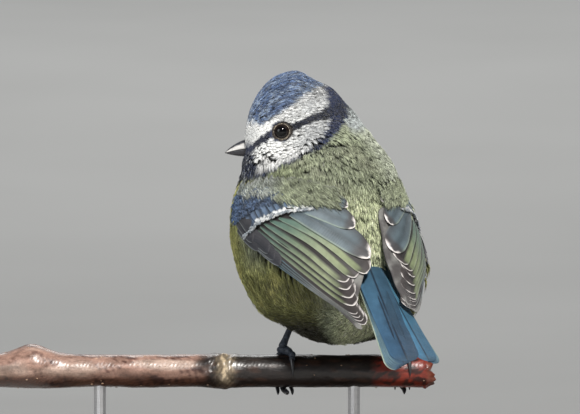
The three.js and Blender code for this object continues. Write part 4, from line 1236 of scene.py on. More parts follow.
is_head = HEADW > 0.5
is_face = is_head & (s > 5.0)
is_under = ~is_head & (ap > 88) | (~is_head & (c < 19))
tone = plumage(P)
is_cap = is_head & (tone[:, 2] > 1.25 * tone[:, 0]) & (t > 0)
is_face &= ~is_cap
dress("coat_face", is_face, t, 9, 0.10, 0.8, head_mat, "plumage_head", wild=0.10, dark=0.96, jit=0.06, barb_h=0.04, plate=1.0)
WID = np.where(is_cap, WID * 0.72, WID)
dress("coat_cap", is_cap, t, 12, 0.10, 0.50, head_mat, "plumage_head", wild=0.03, dark=0.50, jit=0.50, barb_h=0.09, begin=(0.05, 0.45), plate=0.75)
dress("coat_head", is_head & ~is_face & ~is_cap, t, 9, 0.13, 0.7, head_mat, "plumage_head", wild=0.05, dark=0.74, jit=0.24, barb_h=0.06, begin=(0.05, 0.45), plate=0.88)
dress("coat_back", ~is_head & ~is_under, c, 17, 0.13, 0.75, plume_mat, "plumage_body", wild=0.10, dark=0.50, jit=0.34, barb_h=0.24, begin=(0.06, 0.5), reach=(0.8, 1.2), plate=0.62, strand=1.12, base=0.88)
dress("coat_under", is_under, c, 14, 0.15, 0.85, plume_mat, "plumage_body", wild=0.16, dark=0.28, jit=0.42, barb_h=0.42, begin=(0.06, 0.5), reach=(0.8, 1.3), plate=0.58, strand=1.3, base=0.75)
print("coat", len(P), "feathers", is_head.sum(), is_under.sum(), COAT_TRIS[0], "triangles")


# -------------------------------------------------------------------- vanes
def shell_at(phi, c, off, side):
    return on_shell(np.radians(phi), c, off, side)


def shell_frame(phi, c, side):
    e = 0.4
    dp = (shell_at(phi + e, c, 0, side) - shell_at(phi - e, c, 0, side)) / (2 * e)
    dc = (shell_at(phi, c + e, 0, side) - shell_at(phi, c - e, 0, side)) / (2 * e)
    n = unit(shell_at(phi, c, 1.0, side) - shell_at(phi, c, -1.0, side))
    nn = unit(np.cross(dp, dc))
    nn = nn * np.sign((nn * n).sum(-1, keepdims=True))
    return dp, dc, nn


def wing_surface(side):
    """A map from an outer-edge path and a distance inward to places on the wing's shell."""
    def place(edge, u, dist, off):
        # u (m), dist (m,k), off (m,k) -> (m,k,3)
        E = catmull(np.asarray(edge, float) * [1, 1], u)
        e2 = catmull(np.asarray(edge, float), np.clip(u + 0.01, 0, 1)) - catmull(np.asarray(edge, float), np.clip(u - 0.01, 0, 1))
        phi, c = E[:, 0], E[:, 1]
        dp, dc, n = shell_frame(phi, c, side)
        t = unit(dp * e2[:, :1] + dc * e2[:, 1:])
        w = unit(np.cross(n, t))
        sgn = np.sign((w * (-dp * 1.0 + dc * 0.6)).sum(1, keepdims=True))
        w = w * sgn
        # solve for the chart step that moves 1 mm along w
        a, b, d = (dp * dp).sum(1), (dp * dc).sum(1), (dc * dc).sum(1)
        p, q = (dp * w).sum(1), (dc * w).sum(1)
        det = a * d - b * b
        sp, sc = (p * d - q * b) / det, (q * a - p * b) / det
        ph = phi[:, None] + sp[:, None] * dist
        cc = c[:, None] + sc[:, None] * dist
        return shell_at(ph, cc, off, side)
    return place


TAIL_ROOM = []


def vane(place, edge, W, look, seed, n=34, f=0.3, base=0.0, slope=0.12, thick=0.13, camber=0.12, tip=0.14, converge=0.25,
         start=0.35, length=30.0, barbs_split=0.0):
    """One feather: a thin closed blade with a raised shaft. look(u, v, mm, g) gives the colour."""
    u = 1 - (1 - np.linspace(0, 1, n)) ** 1.7
    cols = np.array([0, 0.03, 0.10, f * 0.55, f - 0.055, f, f + 0.055, f + (1 - f) * 0.35, f + (1 - f) * 0.7, 0.95, 1.0])
    k = len(cols)
    t = np.sqrt(np.clip(1 - (np.clip(u - (1 - tip), 0, None) / tip) ** 2, 0, 1))
    t = np.maximum(t, 0.02)
    grow = np.minimum(1, start + u * 4.0)
    lo = (1 - t) * converge
    hi = 1 - (1 - t) * (1 - converge)
    hi = lo + (hi - lo) * grow
    v = lo[:, None] + (hi - lo)[:, None] * cols[None]
    r = np.random.default_rng(seed)
    # a soft wave along the blade
    dist = v * W
    ridge = 0.085 * np.exp(-((cols - f) / 0.045) ** 2)[None] * (1 - 0.6 * u[:, None])
    arch = camber * np.sin(np.pi * np.clip(cols, 0, 1))[None] * (W / 5)
    wavey = 0.04 * np.sin(u * 9 + r.random() * 6)[:, None]
    top = base - slope * W * cols[None] + arch + ridge + wavey + 0 * v
    th = thick * (1 - 0.75 * np.abs(2 * cols - 1) ** 3)[None] * (0.5 + 0.5 * t[:, None])
    A = place(edge, u, dist, top)
    B = place(edge, u, dist, top - th)
    rings = np.concatenate([A, B[:, ::-1]], 1)
    V, F = loft(rings)
    vv = np.concatenate([np.tile(cols, (n, 1)), np.tile(cols[::-1], (n, 1))], 1).ravel()
    uu = np.repeat(u, 2 * k)
    gg = np.repeat(t, 2 * k)
    vv = np.append(vv, [0.5, 0.5]); uu = np.append(uu, [0, 1]); gg = np.append(gg, [1, 0.02])
    rim = np.minimum((1 - uu) * length, np.minimum(vv, 1 - vv) * gg * W)
    col = look(uu, vv, vv * W, rim)
    topside = np.concatenate([np.ones((n, k)), np.zeros((n, k))], 1).ravel()
    topside = np.append(topside, [1, 1])
    # painted shade: the underside of each blade is darkened
    col = np.where(topside[:, None] > 0.5, col, col * 0.55)
    noise = 1 + 0.06 * np.sin(vv * 9 + r.random() * 6) * np.sin(uu * 23 + r.random() * 6)
    col = col * noise[:, None]
    # maps: "Vane" runs along the shaft in cm; the bake map is a strip of its own
    vane_uv = np.stack([uu * length / 10, (vv - f) * W / 10], -1)
    ringpos = np.append(np.tile(np.arange(2 * k) / (2 * k), n), [0.25, 0.25])
    bake = np.stack([ringpos, uu], -1)
    return V, F, col, vane_uv, bake


def vanes_object(name, blades, mat, replaces=()):
    Vs, Fs, Cs, Us, Bs = [], [], [], [], []
    n = 0
    cells = len(blades)
    across = int(math.ceil(math.sqrt(cells * 4)))
    down = int(math.ceil(cells / across))
    for i, (V, F, C, U, B) in enumerate(blades):
        cx, cy = (i % across) / across, (i // across) / down
        b = B[F]                                           # per corner
        span = b[:, :, 0].max(1) - b[:, :, 0].min(1)
        wrap = (span > 0.5)[:, None] & (b[:, :, 0] < 0.5)
        b = b.copy()
        b[:, :, 0] = np.where(wrap, 0.999, b[:, :, 0])
        b = b * [0.92 / across, 0.92 / down] + [cx + 0.04 / across, cy + 0.04 / down]
        Bs.append(b); Vs.append(V); Fs.append(F + n); Cs.append(C); Us.append(U); n += len(V)
    V, F, C, U, B = (np.concatenate(q) for q in (Vs, Fs, Cs, Us, Bs))
    ob = new_mesh(name, V, F, C, B, extra_uv=("Vane", U))
    ob.data.materials.append(mat)
    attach(ob, "root")
    if replaces:
        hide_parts(*[r for r in replaces if r in NODES])
    COAT_TRIS[0] += len(F)
    return ob


DARK = np.array([0.034, 0.028, 0.028])
TIPW = np.array([0.74, 0.70, 0.68])
MINT = np.array([0.140, 0.245, 0.195])
LIME = np.array([0.235, 0.280, 0.150])
SLATE = np.array([0.096, 0.132, 0.154])


def look_secondary(a, b, outer=1.35):
    """Outer web from colour a near the base to b near the tip, dark beyond it, pale rim at the tip."""
    def look(u, v, mm, rim):
        web = mixc(a, b, sm(0.1, 0.75, u))
        web = mixc(web, np.array([0.42, 0.46, 0.36]), (1 - sm(0.05, 0.22, mm)) * 0.6)
        web = web * (1 - 0.35 * sm(0.80, 0.93, u))[:, None]
        # beyond the outer web: the inner web's own dark colour, deepened with painted shade where the next feather
        # overlaps
        c = mixc(web, DARK * 0.55, sm(outer - 0.18, outer + 0.22, mm))
        c = mixc(c, np.array([0.085, 0.073, 0.070]), 0.5 * sm(2.6, 4.5, mm))
        c = mixc(c, DARK * 1.3, 0.85 * sm(0.90, 0.95, u) * (1 - (mm < 0.35)))
        return mixc(c, TIPW, (1 - sm(0.20, 0.40, rim)) * sm(0.925, 0.96, u))
    return look


def look_primary(k):
    def look(u, v, mm, rim):
        c = mixc(DARK * 0.9, np.array([0.050, 0.044, 0.041]), 0.8 * sm(0.7, 2.6, mm))
        edge = mixc(np.array([0.08, 0.14, 0.17]), np.array([0.20, 0.21, 0.20]), sm(0.3, 0.8, u))
        c = mixc(c, edge, (1 - sm(0.16, 0.36, mm)) * (1 - 0.35 * sm(0.6, 0.95, u)))
        return mixc(c, TIPW * 0.85, (1 - sm(0.14, 0.30, rim)) * sm(0.945, 0.97, u))
    return look


def look_tertial(tone=1.0):
    def look(u, v, mm, rim):
        c = mixc(SLATE * tone, SLATE * 0.66, 1 - sm(0.04, 0.24, np.abs(v - 0.42)))
        c = mixc(c, np.array([0.30, 0.37, 0.30]), (1 - sm(0.0, 0.12, v)) * 0.7)
        c = mixc(c, DARK * 1.6, 0.6 * sm(0.66, 0.95, v))
        c = mixc(c, DARK * 1.5, 0.75 * sm(0.76, 0.88, u))
        w = 0.42 + 0.38 * sm(0.2, 0.8, v) + 0.10 * np.sin(v * 11)
        return mixc(c, TIPW * 1.08, (1 - sm(w - 0.16, w + 0.16, rim)) * sm(0.885, 0.945, u))
    return look


def look_alula(u, v, mm, rim):
    c = mixc(np.array([0.020, 0.022, 0.030]), np.array([0.045, 0.045, 0.052]), sm(1.0, 2.6, mm))
    return mixc(c, np.array([0.24, 0.27, 0.28]), (1 - sm(0.10, 0.28, mm)) * 0.7)


def look_greater(blue, white=0.85):
    def look(u, v, mm, rim):
        c = mixc(blue, blue * 0.35, 1 - sm(0.05, 0.26, np.abs(v - 0.5)))
        c = mixc(c, blue * 1.5, (1 - sm(0.0, 0.2, v)) * 0.6)
        c = mixc(c, blue * 0.45, 0.6 * sm(white - 0.07, white, u))
        return mixc(c, np.array([0.80, 0.82, 0.82]), sm(white, white + 0.06, u + 0.04 * np.sin(v * 9)))
    return look


wing_mat = vane_material("flight_feathers", 0.48, 0.10, 0.35, 140.0, 0.30)
cover_mat = vane_material("wing_coverts", 0.55, 0.15, 0.30, 120.0, 0.35)

LEFT = {
    "P1": [(76.0, 31.4), (53.3, 22.75), (32.4, 11.1)], "P2": [(74.6, 32.25), (53.2, 23.4), (33.2, 12.0)],
    "P3": [(73.8, 33.0), (52.4, 24.0), (33.7, 12.9)], "P4": [(72.9, 33.75), (51.6, 24.75), (34.3, 13.75)],
    "S1": [(72.0, 34.5), (49.8, 25.75), (32.7, 15.75)], "S2": [(70.7, 35.25), (47.8, 27.0), (30.8, 17.7)],
    "S3": [(68.7, 36.0), (46.2, 28.5), (29.1, 19.75)], "S4": [(65.6, 36.75), (43.7, 30.25), (27.4, 21.6)],
    "S5": [(61.1, 37.4), (38.1, 31.75), (20.9, 22.75)], "S6": [(54.9, 38.0), (31.8, 32.5), (13.4, 23.75)],
    "T2": [(47.6, 38.75), (29.4, 33.5), (9.4, 26.9)], "T1": [(39.4, 39.5), (25.9, 37.1), (11.8, 34.4)],
    "T0": [(30.7, 41.45), (20.3, 41.1), (12.5, 40.0)]}
RIGHT = {
    "P1": [(76.0, 31.4), (47.0, 22.6), (26.7, 18.0), (12.7, 15.3)], "P2": [(74.6, 32.25), (47.0, 23.4), (27.2, 18.9), (14.6, 16.2)],
    "P3": [(73.8, 33.0), (47.0, 24.2), (28.4, 19.9), (16.8, 17.1)],
    "S1": [(72.0, 34.5), (49.0, 25.6), (30.0, 20.6), (18.5, 17.6)], "S2": [(70.7, 35.25), (48.0, 27.0), (32.0, 22.2), (21.0, 19.0)],
    "S3": [(68.7, 36.0), (48.0, 28.7), (34.5, 24.2), (23.8, 20.9)], "S4": [(65.6, 36.75), (47.0, 30.6), (35.6, 26.6), (26.2, 22.9)],
    "S5": [(61.1, 37.4), (45.0, 32.0), (34.0, 28.2), (23.9, 24.4)], "S6": [(54.9, 38.0), (40.0, 33.2), (30.0, 29.6), (20.2, 26.0)],
    "T2": [(47.6, 38.75), (34.4, 34.5), (26.0, 31.4), (15.8, 28.4)], "T1": [(39.4, 40.0), (30.0, 38.4), (17.8, 35.4)],
    "T0": [(33.7, 42.0), (25.3, 41.6), (16.5, 41.2)]}


def wing(side, tag, edges):
    place = wing_surface(side)
    fl, cov = [], []
    order = ["P1", "P2", "P3", "P4", "S1", "S2", "S3", "S4", "S5", "S6", "T2", "T1", "T0"]
    order = [k for k in order if k in edges]
    for i, k in enumerate(order):
        e = edges[k]
        lift = -0.95 + 0.075 * i
        if k[0] == "P":
            fl.append(vane(place, e, 4.2, look_primary(i), 500 + i, f=0.22, base=lift, slope=0.10, tip=0.10, length=38, converge=0.35))
        elif k[0] == "S":
            j = int(k[1])
            a = MINT * (0.50 + 0.03 * j); b_ = LIME * (0.66 + 0.05 * j)
            fl.append(vane(place, e, 5.4, look_secondary(a, b_, outer=(0, 0.62, 0.72, 0.90, 1.25, 1.55, 1.6)[j]), 500 + i, f=0.30, base=lift, slope=0.105, tip=0.11, length=30, converge=0.30))
        else:
            W = {"T2": 6.4, "T1": 5.4, "T0": 3.6}[k]
            fl.append(vane(place, e, W, look_tertial({"T2": 1.0, "T1": 1.1, "T0": 1.2}[k]), 500 + i, f=0.42, base=lift + 0.1, slope=0.07, tip={"T2": 0.24, "T1": 0.34, "T0": 0.5}[k],
                           camber=0.22, length=20, converge=0.40))
    # primary coverts and alula, blackish, over the base of the primaries
    for i, e in enumerate(([(78.0, 32.2), (68.5, 28.6), (60.5, 25.9)], [(79.5, 33.0), (70.5, 29.9), (63.2, 27.3)], [(80.5, 34.0), (72.0, 31.2), (65.5, 28.9)])):
        cov.append(vane(place, e, 3.4, look_alula, 540 + i, f=0.25, base=-0.25 + 0.09 * i, slope=0.09, tip=0.22, length=10))
    for i, e in enumerate(([(88.0, 35.0), (80.0, 32.0), (72.5, 29.6)], [(89.5, 36.6), (82.5, 34.2), (75.0, 31.6)], [(89.5, 38.2), (83.0, 36.4), (77.2, 34.3)])):
        cov.append(vane(place, e, 3.3, look_alula, 550 + i, f=0.25, base=0.05 + 0.09 * i, slope=0.09, tip=0.25, length=8))
    # greater coverts: a row whose white tips make the wing bar
    bar = [(78.5, 34.3), (74.5, 35.5), (70.5, 36.7), (66.2, 37.7), (61.8, 38.5), (57.4, 39.2), (52.8, 39.8), (48.0, 40.3), (43.4, 40.6), (38.8, 40.8)]
    for i, (p1, c1) in enumerate(bar):
        k = i / (len(bar) - 1)
        jog = 0.30 * math.sin(i * 2.4) + 0.15 * math.sin(i * 5.1 + 1)
        e = [(p1 + 10.5 - 1.5 * k, c1 + 7.2 - 3.4 * k), (p1 + 5.2, c1 + 3.0 - 1.2 * k), (p1 + jog, c1 - 0.8 - jog)]
        blue = np.array([0.085, 0.125, 0.20]) * (1.0 + 0.5 * k) * (1 - 0.25 * k) + np.array([0.02, 0.03, 0.02]) * k
        cov.append(vane(place, e, 3.1 + 0.4 * math.sin(i * 3.7), look_greater(blue, 0.84 + 0.03 * math.sin(i * 1.9)), 560 + i, f=0.5, base=0.02 + 0.04 * i, slope=0.085, tip=0.36, length=9, camber=0.12, converge=0.45 + 0.08 * math.sin(i * 2.9)))
    vanes_object("flight_" + tag, fl, wing_mat, ("wing_secondaries_" + tag, "wing_primaries_" + tag))
    vanes_object("coverts_" + tag, cov, cover_mat, ("wing_coverts_" + tag,))


def wing_core(side, tag, lead, inner):
    """Dark under-layer that carries the flight feathers."""
    n, k = 60, 14
    U = np.linspace(0, 1, n)
    A = catmull(np.array(lead, float), U); B = catmull(np.array(inner, float), U)
    v = np.linspace(0.05, 0.95, k)
    ph = A[:, :1] + (B[:, :1] - A[:, :1]) * v; cc = A[:, 1:] + (B[:, 1:] - A[:, 1:]) * v
    t = (0.45 + 0.8 * np.sin(np.pi * v) ** 0.7)[None] * (1.15 - 0.45 * sm(0, 1, U))[:, None]
    top = shell_at(ph, cc, -1.05 + 0 * ph, side)
    bot = shell_at(ph, cc, -1.05 - t, side)
    V, F = loft(np.concatenate([top, bot[:, ::-1]], 1))
    return V, F


wing(1, "l", LEFT)
wing(-1, "r", RIGHT)
core_mat = feather_material("wing_lining", 0.7, 0.1, 0.25, 1500.0, 0.3)
for side, tag, lead, inner in ((1, "l", LEADING, INNER), (-1, "r", R_LEADING, R_INNER)):
    V, F = wing_core(side, tag, lead, inner)
    ob = new_mesh("wing_lining_" + tag, V, F, mixc(np.array([0.07, 0.065, 0.065]), np.array([0.20, 0.20, 0.19]), sm(-0.3, 0.8, wave(V, 0.2, 71))))
    ob.data.materials.append(core_mat)
    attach(ob, "root")


# ------------------------------------------------- small coverts and scapulars
def shell_tufts(name, side, phi, c, step, length, W, nb, bw, lift, colour, seed, slot, mat, depth=0.9, **kw):
    """Feathers rooted on the wing's shell that lie along a chart direction."""
    step = np.broadcast_to(np.asarray(step, float), (len(phi), 2))
    Pc = shell_at(phi, c, 0, side)
    dp, dc, n0 = shell_frame(phi, c, side)
    t = unit(dp * step[:, :1] + dc * step[:, 1:])
    a, b, d = (dp * dp).sum(1), (dp * dc).sum(1), (dc * dc).sum(1)
    p, q = (dp * t).sum(1), (dc * t).sum(1)
    det = a * d - b * b
    sp, sc = (p * d - q * b) / det, (q * a - p * b) / det
    phi1, c1 = phi + sp * length * 0.5, c + sc * length * 0.5
    phi2, c2 = phi + sp * length, c + sc * length
    _, _, n1 = shell_frame(phi1, c1, side); _, _, n2 = shell_frame(phi2, c2, side)
    P_ = Pc - n0 * depth
    M_ = shell_at(phi1, c1, 0, side) + n1 * (lift * 0.6 - 0.1)[:, None]
    Q_ = shell_at(phi2, c2, 0, side) + n2 * lift[:, None]
    data = tufts(P_, n0, M_, n1, Q_, n2, W, nb, bw, 0.7, colour, seed, **kw)
    return coat_piece(name, data, mat)


def grid_points(poly, spacing, side, seed):
    """Jittered points inside an outline of (angle, height) over the wing."""
    r = np.random.default_rng(seed)
    poly = np.array(poly, float)
    n = 9000
    phi = r.uniform(poly[:, 0].min(), poly[:, 0].max(), n); c = r.uniform(poly[:, 1].min(), poly[:, 1].max(), n)
    ok = inside([tuple(p) for p in poly], phi, c)
    phi, c = phi[ok], c[ok]
    Q_ = shell_at(phi, c, 0, side)
    k = thinned(Q_, np.full(len(Q_), spacing / math.sqrt(DENS)))
    return phi[k], c[k]


def covert_colour(side):
    def f(P_, jit):
        s_, y_, t_ = head_coords(P_)
        ph, c_ = trunk_coords(P_)
        ph = np.abs(ph)
        w = sm(-0.3, 0.8, wave(P_, 0.45, 81) + 0.8 * jit)
        base = mixc(np.array([0.10, 0.15, 0.25]), np.array([0.055, 0.075, 0.115]), w)
        base = mixc(base, np.array([0.10, 0.17, 0.31]), sm(80, 92, ph) * (1 - w * 0.6))
        base = mixc(base, np.array([0.22, 0.25, 0.24]), (1 - sm(40, 56, ph)) * 0.7)
        return base
    return f


def scap_colour(P_, jit):
    ph, c_ = trunk_coords(P_)
    w = sm(-0.4, 0.8, wave(P_, 0.35, 83) + jit)
    ap_ = np.abs(ph)
    a = mixc(GREEN * 1.08, GREEN * 0.72, w)
    a = mixc(a, mixc(np.array([0.44, 0.47, 0.45]), np.array([0.25, 0.28, 0.25]), w), 0.85 * sm(48, 64, ap_) * (1 - sm(48.0, 50.0, c_)))
    return mixc(a, np.array([0.16, 0.19, 0.20]), 0.6 * sm(80, 92, ap_))


for side, tag in ((1, "l"), (-1, "r")):
    ph, cc = grid_points([(99, 43), (98, 39.5), (93, 38.6), (86, 40.0), (76, 41.8), (64, 43.0), (52, 43.6), (54, 45.5), (66, 46.5), (80, 47.2), (95, 46.5)], 0.85, side, 31)
    r = np.random.default_rng(33)
    n = len(ph)
    L_ = 2.7 + 0.7 * r.random(n)
    step = np.stack([-1.0 - 0.35 * r.random(n), -0.45 - 0.15 * r.random(n) - 0.35 * sm(70, 90, ph)], -1)
    step[:, 0] *= 1.0
    shell_tufts("lesser_" + tag, side, ph, cc, step, L_, 1.9 + 0.5 * r.random(n), 8, 0.20, 0.15 + 0.25 * r.random(n), covert_colour(side), 35, "wing_coverts", plume_mat,
                dark=0.30, jit=0.22, barb_h=0.14)
    ph, cc = grid_points([(99, 48.4), (98, 46.6), (90, 46.4), (76, 46.2), (60, 45.4), (46, 44.4), (34, 43.6), (22, 43.4), (20, 47), (40, 49.0), (70, 49.4)], 0.95, side, 41)
    r = np.random.default_rng(43)
    n = len(ph)
    L_ = 5.0 + 1.6 * r.random(n) - 1.8 * sm(60, 30, ph)
    L_ = 4.3 + 1.3 * r.random(n) - 0.6 * (1 - sm(30, 60, ph))
    step = np.stack([-1.25 - 0.4 * r.random(n), -0.52 - 0.16 * r.random(n)], -1)
    shell_tufts("scapular_" + tag, side, ph, cc, step, L_ * (0.8 + 0.45 * r.random(n)), 2.2 + 0.5 * r.random(n), 16, 0.13, 0.15 + 0.35 * r.random(n), scap_colour, 45, "plumage_body", plume_mat,
                dark=0.50, jit=0.32, barb_h=0.26, depth=1.6, wild=0.12, begin=(0.06, 0.5), plate=0.60, reach=(0.8, 1.3), strand=1.12, base=0.88)


def bar_colour(P_, jit):
    w = sm(-0.3, 0.6, wave(P_, 0.5, 85) + 1.2 * jit)
    return mixc(np.array([0.30, 0.34, 0.38]), np.array([0.80, 0.82, 0.82]), w)


# soft white feathers break up the row of tips that makes the wing bar
for side, tag in ((1, "l"), (-1, "r")):
    r = np.random.default_rng(61)
    line = np.array([(80.0, 33.9), (74.5, 35.5), (66.2, 37.7), (57.4, 39.2), (48.0, 40.3), (38.8, 40.8), (33.0, 41.0)], float)
    n = int(190 * DENS)
    q = catmull(line, np.linspace(0, 1, n))
    ph = q[:, 0] + 1.5 * r.normal(size=n) * 0.5 + 1.4; cc = q[:, 1] + 0.12 * r.normal(size=n) + 0.05
    step = np.stack([-1.25 - 0.5 * r.random(n), -0.80 - 0.3 * r.random(n)], -1)
    shell_tufts("bar_" + tag, side, ph, cc, step, 0.85 + 0.55 * r.random(n), 0.55 + 0.25 * r.random(n), 6, 0.09, 0.36 + 0.16 * r.random(n), bar_colour, 65, "wing_coverts", head_mat,
                dark=0.75, jit=0.16, barb_h=0.10, depth=0.15, wild=0.14, plate=0.8, reach=(0.8, 1.25))


# --------------------------------------------------------------------- tail
def tail_place(edge, u, dist, off):
    """edge: (along, across) in mm on the tail; dist moves across towards the right."""
    E = catmull(np.asarray(edge, float), u)
    e2 = catmull(np.asarray(edge, float), np.clip(u + 0.01, 0, 1)) - catmull(np.asarray(edge, float), np.clip(u - 0.01, 0, 1))
    t = unit(e2)
    w = np.stack([-t[:, 1], t[:, 0]], -1)
    w = w * np.where(w[:, 1:] < 0, -1, 1)
    al = E[:, :1] + w[:, :1] * dist
    ac = E[:, 1:] + w[:, 1:] * dist
    half = (10.2 + (14.6 - 10.2) * np.clip(al / 44.5, 0, 1) ** 0.8) / 2
    vv = np.clip(ac / half, -1.1, 1.1)
    crown = 1.5 * (1 - vv ** 2) * (1 + (0.45 - 1) * np.clip(al / 44.5, 0, 1))
    h = (3.0 + (1.2 - 3.0) * np.clip(al / 44.5, 0, 1)) / 2
    z = crown + h * (1 - 0.35 * vv ** 2) - 0.15
    return (TAIL_ROOT + al[..., None] * TAIL_DIR + ac[..., None] * TAIL_ACROSS + (z + off)[..., None] * TAIL_UP)


def look_tail(k, left):
    """k: 0 for the central pair, 5 for the outermost."""
    def look(u, v, mm, rim):
        out = 1 - v if left else v                          # 1 at the outer web
        # painted light: the right-hand feathers are made lighter, as if lit on that side
        hue = mixc(np.array([0.050, 0.125, 0.200]), np.array([0.034, 0.084, 0.150]), sm(0.15, 0.85, u)) * (1.0 if left else np.array([1.6, 1.95, 1.83]))
        c = mixc(hue, hue * (0.62 if k == 0 else 0.5), sm(0.50, 0.62, v) if k == 0 else 1 - sm(0.40, 0.52, out))
        c = mixc(c, hue * 0.55, (1 - sm(0.03, 0.20, np.abs(v - 0.5))) * 0.5)
        c = mixc(c, np.array([0.006, 0.010, 0.020]), 1 - sm(0.016, 0.055, np.abs(v - 0.5)))
        if k == 0:
            c = mixc(c, hue * 1.35, (1 - sm(0.0, 0.10, v)) * 0.5 + sm(0.93, 1.0, v) * 0.35)
        else:
            pale = np.array([0.16, 0.25, 0.27]) if k < 5 else np.array([0.36, 0.42, 0.33])
            c = mixc(c, pale, sm(0.84, 0.96, out) * (0.6 if k < 5 else 0.9))
        c = mixc(c, np.array([0.05, 0.075, 0.10]), 0.45 * sm(0.92, 0.98, u))
        return c
    return look


# (shaft across at root, middle, tip; length; width) from the outermost pair in
TAIL_LEFT = {5: (-1.9, -3.3, -5.1, 45.4, 4.6), 4: (-1.7, -3.0, -4.7, 45.2, 4.8), 3: (-1.6, -2.7, -4.2, 45.0, 5.0),
             2: (-1.5, -2.4, -3.6, 44.8, 5.4), 1: (-1.4, -2.1, -3.0, 44.5, 5.8), 0: (-1.2, -1.35, -1.75, 43.6, 7.4)}
TAIL_RIGHT = {5: (2.2, 4.2, 6.3, 42.2, 4.4), 4: (2.1, 4.0, 5.9, 42.6, 4.8), 3: (2.0, 3.7, 5.5, 43.0, 5.2),
              2: (1.9, 3.4, 5.0, 43.2, 5.6), 1: (1.8, 3.1, 4.6, 43.2, 5.8), 0: (1.3, 2.7, 4.1, 43.3, 6.2)}
tail_blades = []
for k in (5, 4, 3, 2, 1, 0):
    for left in (False, True):
        a0_, a1_, a2_, L_, W = (TAIL_LEFT if left else TAIL_RIGHT)[k]
        edge = [(-4.0, a0_ - W * 0.40), (L_ * 0.5, a1_ - W / 2), (L_, a2_ - W / 2)]
        base = -0.15 * k - (0.16 if not left else 0)
        tail_blades.append(vane(tail_place, edge, W, look_tail(k, left), 700 + 2 * k + left, n=44, f=0.5, base=base, slope=(-0.045 if left else 0.045) * (k > 0), thick=0.15,
                                camber=0.10, tip=0.09, converge=0.5, start=0.7, length=46))
tail_mat = vane_material("tail_feathers", 0.50, 0.10, 0.20, 130.0, 0.28)
vanes_object("tail_feathers", tail_blades, tail_mat, ("tail",))
print("coat in all", COAT_TRIS[0])

# ------------------------------------------------------------ stand and twig
def twig_radius(x):
    knot = lambda x0, w, h: h * np.exp(-(((x - x0) / w) ** 2))
    return 4.1 + knot(-62, 5.5, 1.5) + knot(-14.5, 3.5, 0.28) + knot(33, 3.5, 0.22) + 0.06 * np.sin(x * 0.31)


def twig_mesh():
    n, k = 420, 96
    x = -72 + (37.6 + 72) * np.linspace(0, 1, n)
    a = np.linspace(0, 2 * np.pi, k, endpoint=False)
    X, A = np.meshgrid(x, a, indexing="ij")
    R = twig_radius(X)
    near = np.max([np.exp(-(((X - f) / 6) ** 2)) for f in (0.9, 30.2)], axis=0)
    R = R + (4.1 - R) * near
    R = R * (1 + 0.22 * np.exp(-(((X + 62) / 5.5) ** 2)) * np.cos(A))
    q = np.stack([X, R * np.sin(A), R * np.cos(A)], -1).reshape(-1, 3)
    lump = 0.10 * wave(q * [0.35, 1, 1], 0.12, 201) + 0.05 * wave(q * [0.4, 1, 1], 0.35, 202) + 0.03 * wave(q, 0.9, 203)
    R = R + lump.reshape(R.shape) * (1 - 0.7 * near)
    # raised rim of the old leaf scar, and its pale broken lip on the camera's side
    face = np.exp(-((np.angle(np.exp(1j * (A + 1.35))) / 0.9) ** 2))
    for x0, w, h in ((-17.0, 1.0, 0.42), (-14.6, 0.8, 0.50), (-12.9, 0.7, -0.30), (-11.9, 0.8, 0.34)):
        R = R + h * np.exp(-(((X - x0 - 0.9 * np.sin(A * 2 + 1)) / w) ** 2)) * (0.25 + 0.75 * face) * (1 + 0.5 * np.sin(A * 7 + x0))
    # torn end
    e = sm(35.4, 37.6, X)
    X = X + e * (1.0 * np.sin(A * 3 + 1) + 0.6 * np.sin(A * 5) + 0.45 * np.sin(A * 11 + 2))
    R = R * (1 + 0.10 * e * np.sin(A * 4 + 0.5) - 0.10 * sm(36.6, 37.6, X))
    R = np.where(X < -71.6, R * 0.97, R)
    rings = np.stack([X, R * np.sin(A), AXIS + R * np.cos(A)], -1)
    V, F = loft(rings)
    # lenticels: small raised dots
    r = np.random.default_rng(5)
    parts = [(V, F)]
    for i in range(150):
        x0, a0 = r.uniform(-70, 36), r.uniform(0, 6.283)
        if min(abs(x0 - 0.9), abs(x0 - 30.2)) < 5.5:
            continue
        rad = float(twig_radius(x0))
        if abs(x0 + 62) < 9:
            rad *= 1 + 0.22 * math.exp(-(((x0 + 62) / 5.5) ** 2)) * math.cos(a0)
        o = np.array([0, math.sin(a0), math.cos(a0)]); g = np.array([0, math.cos(a0), -math.sin(a0)])
        ctr = np.array([x0, 0, AXIS]) + o * (rad - 0.02)
        q = r.uniform(0.10, 0.24)
        rg = []
        for th in np.linspace(0.15, np.pi / 2 + 0.3, 4):
            b = np.linspace(0, 2 * np.pi, 9, endpoint=False)
            rg.append(ctr + o * q * 0.55 * math.cos(th) + np.outer(q * math.sin(th) * np.cos(b), g) + np.outer(1.5 * q * math.sin(th) * np.sin(b), [1, 0, 0]))
        parts.append(loft(rg))
    nb = len(V)
    V, F = join(parts)
    dots = np.zeros(len(V)); dots[nb:] = 1
    return V, F, dots


V, F, dots = twig_mesh()
x = V[:, 0]; ang = np.arctan2(V[:, 1], V[:, 2] - AXIS)
pale = 1 - sm(-21, -17.5, x + 1.2 * wave(V, 0.12, 301))
red = sm(22, 26, x) * (1 - 0.35 * sm(36.5, 37.3, x))
wv = wave(V * [0.25, 1, 1], 0.5, 302)
col = mixc(np.array([0.011, 0.007, 0.006]), np.array([0.036, 0.018, 0.012]), sm(0.0, 1.0, wv))
pk = mixc(np.array([0.42, 0.24, 0.18]), np.array([0.11, 0.040, 0.028]), sm(-0.1, 0.9, 0.6 * wave(V * [0.2, 1, 1], 0.35, 303) + 0.5 * wave(V * [0.5, 1, 1], 0.9, 306)))
pk = mixc(pk, np.array([0.62, 0.44, 0.35]), 0.7 * sm(0.2, 1.0, wave(V * [0.15, 1, 1], 0.25, 304)))
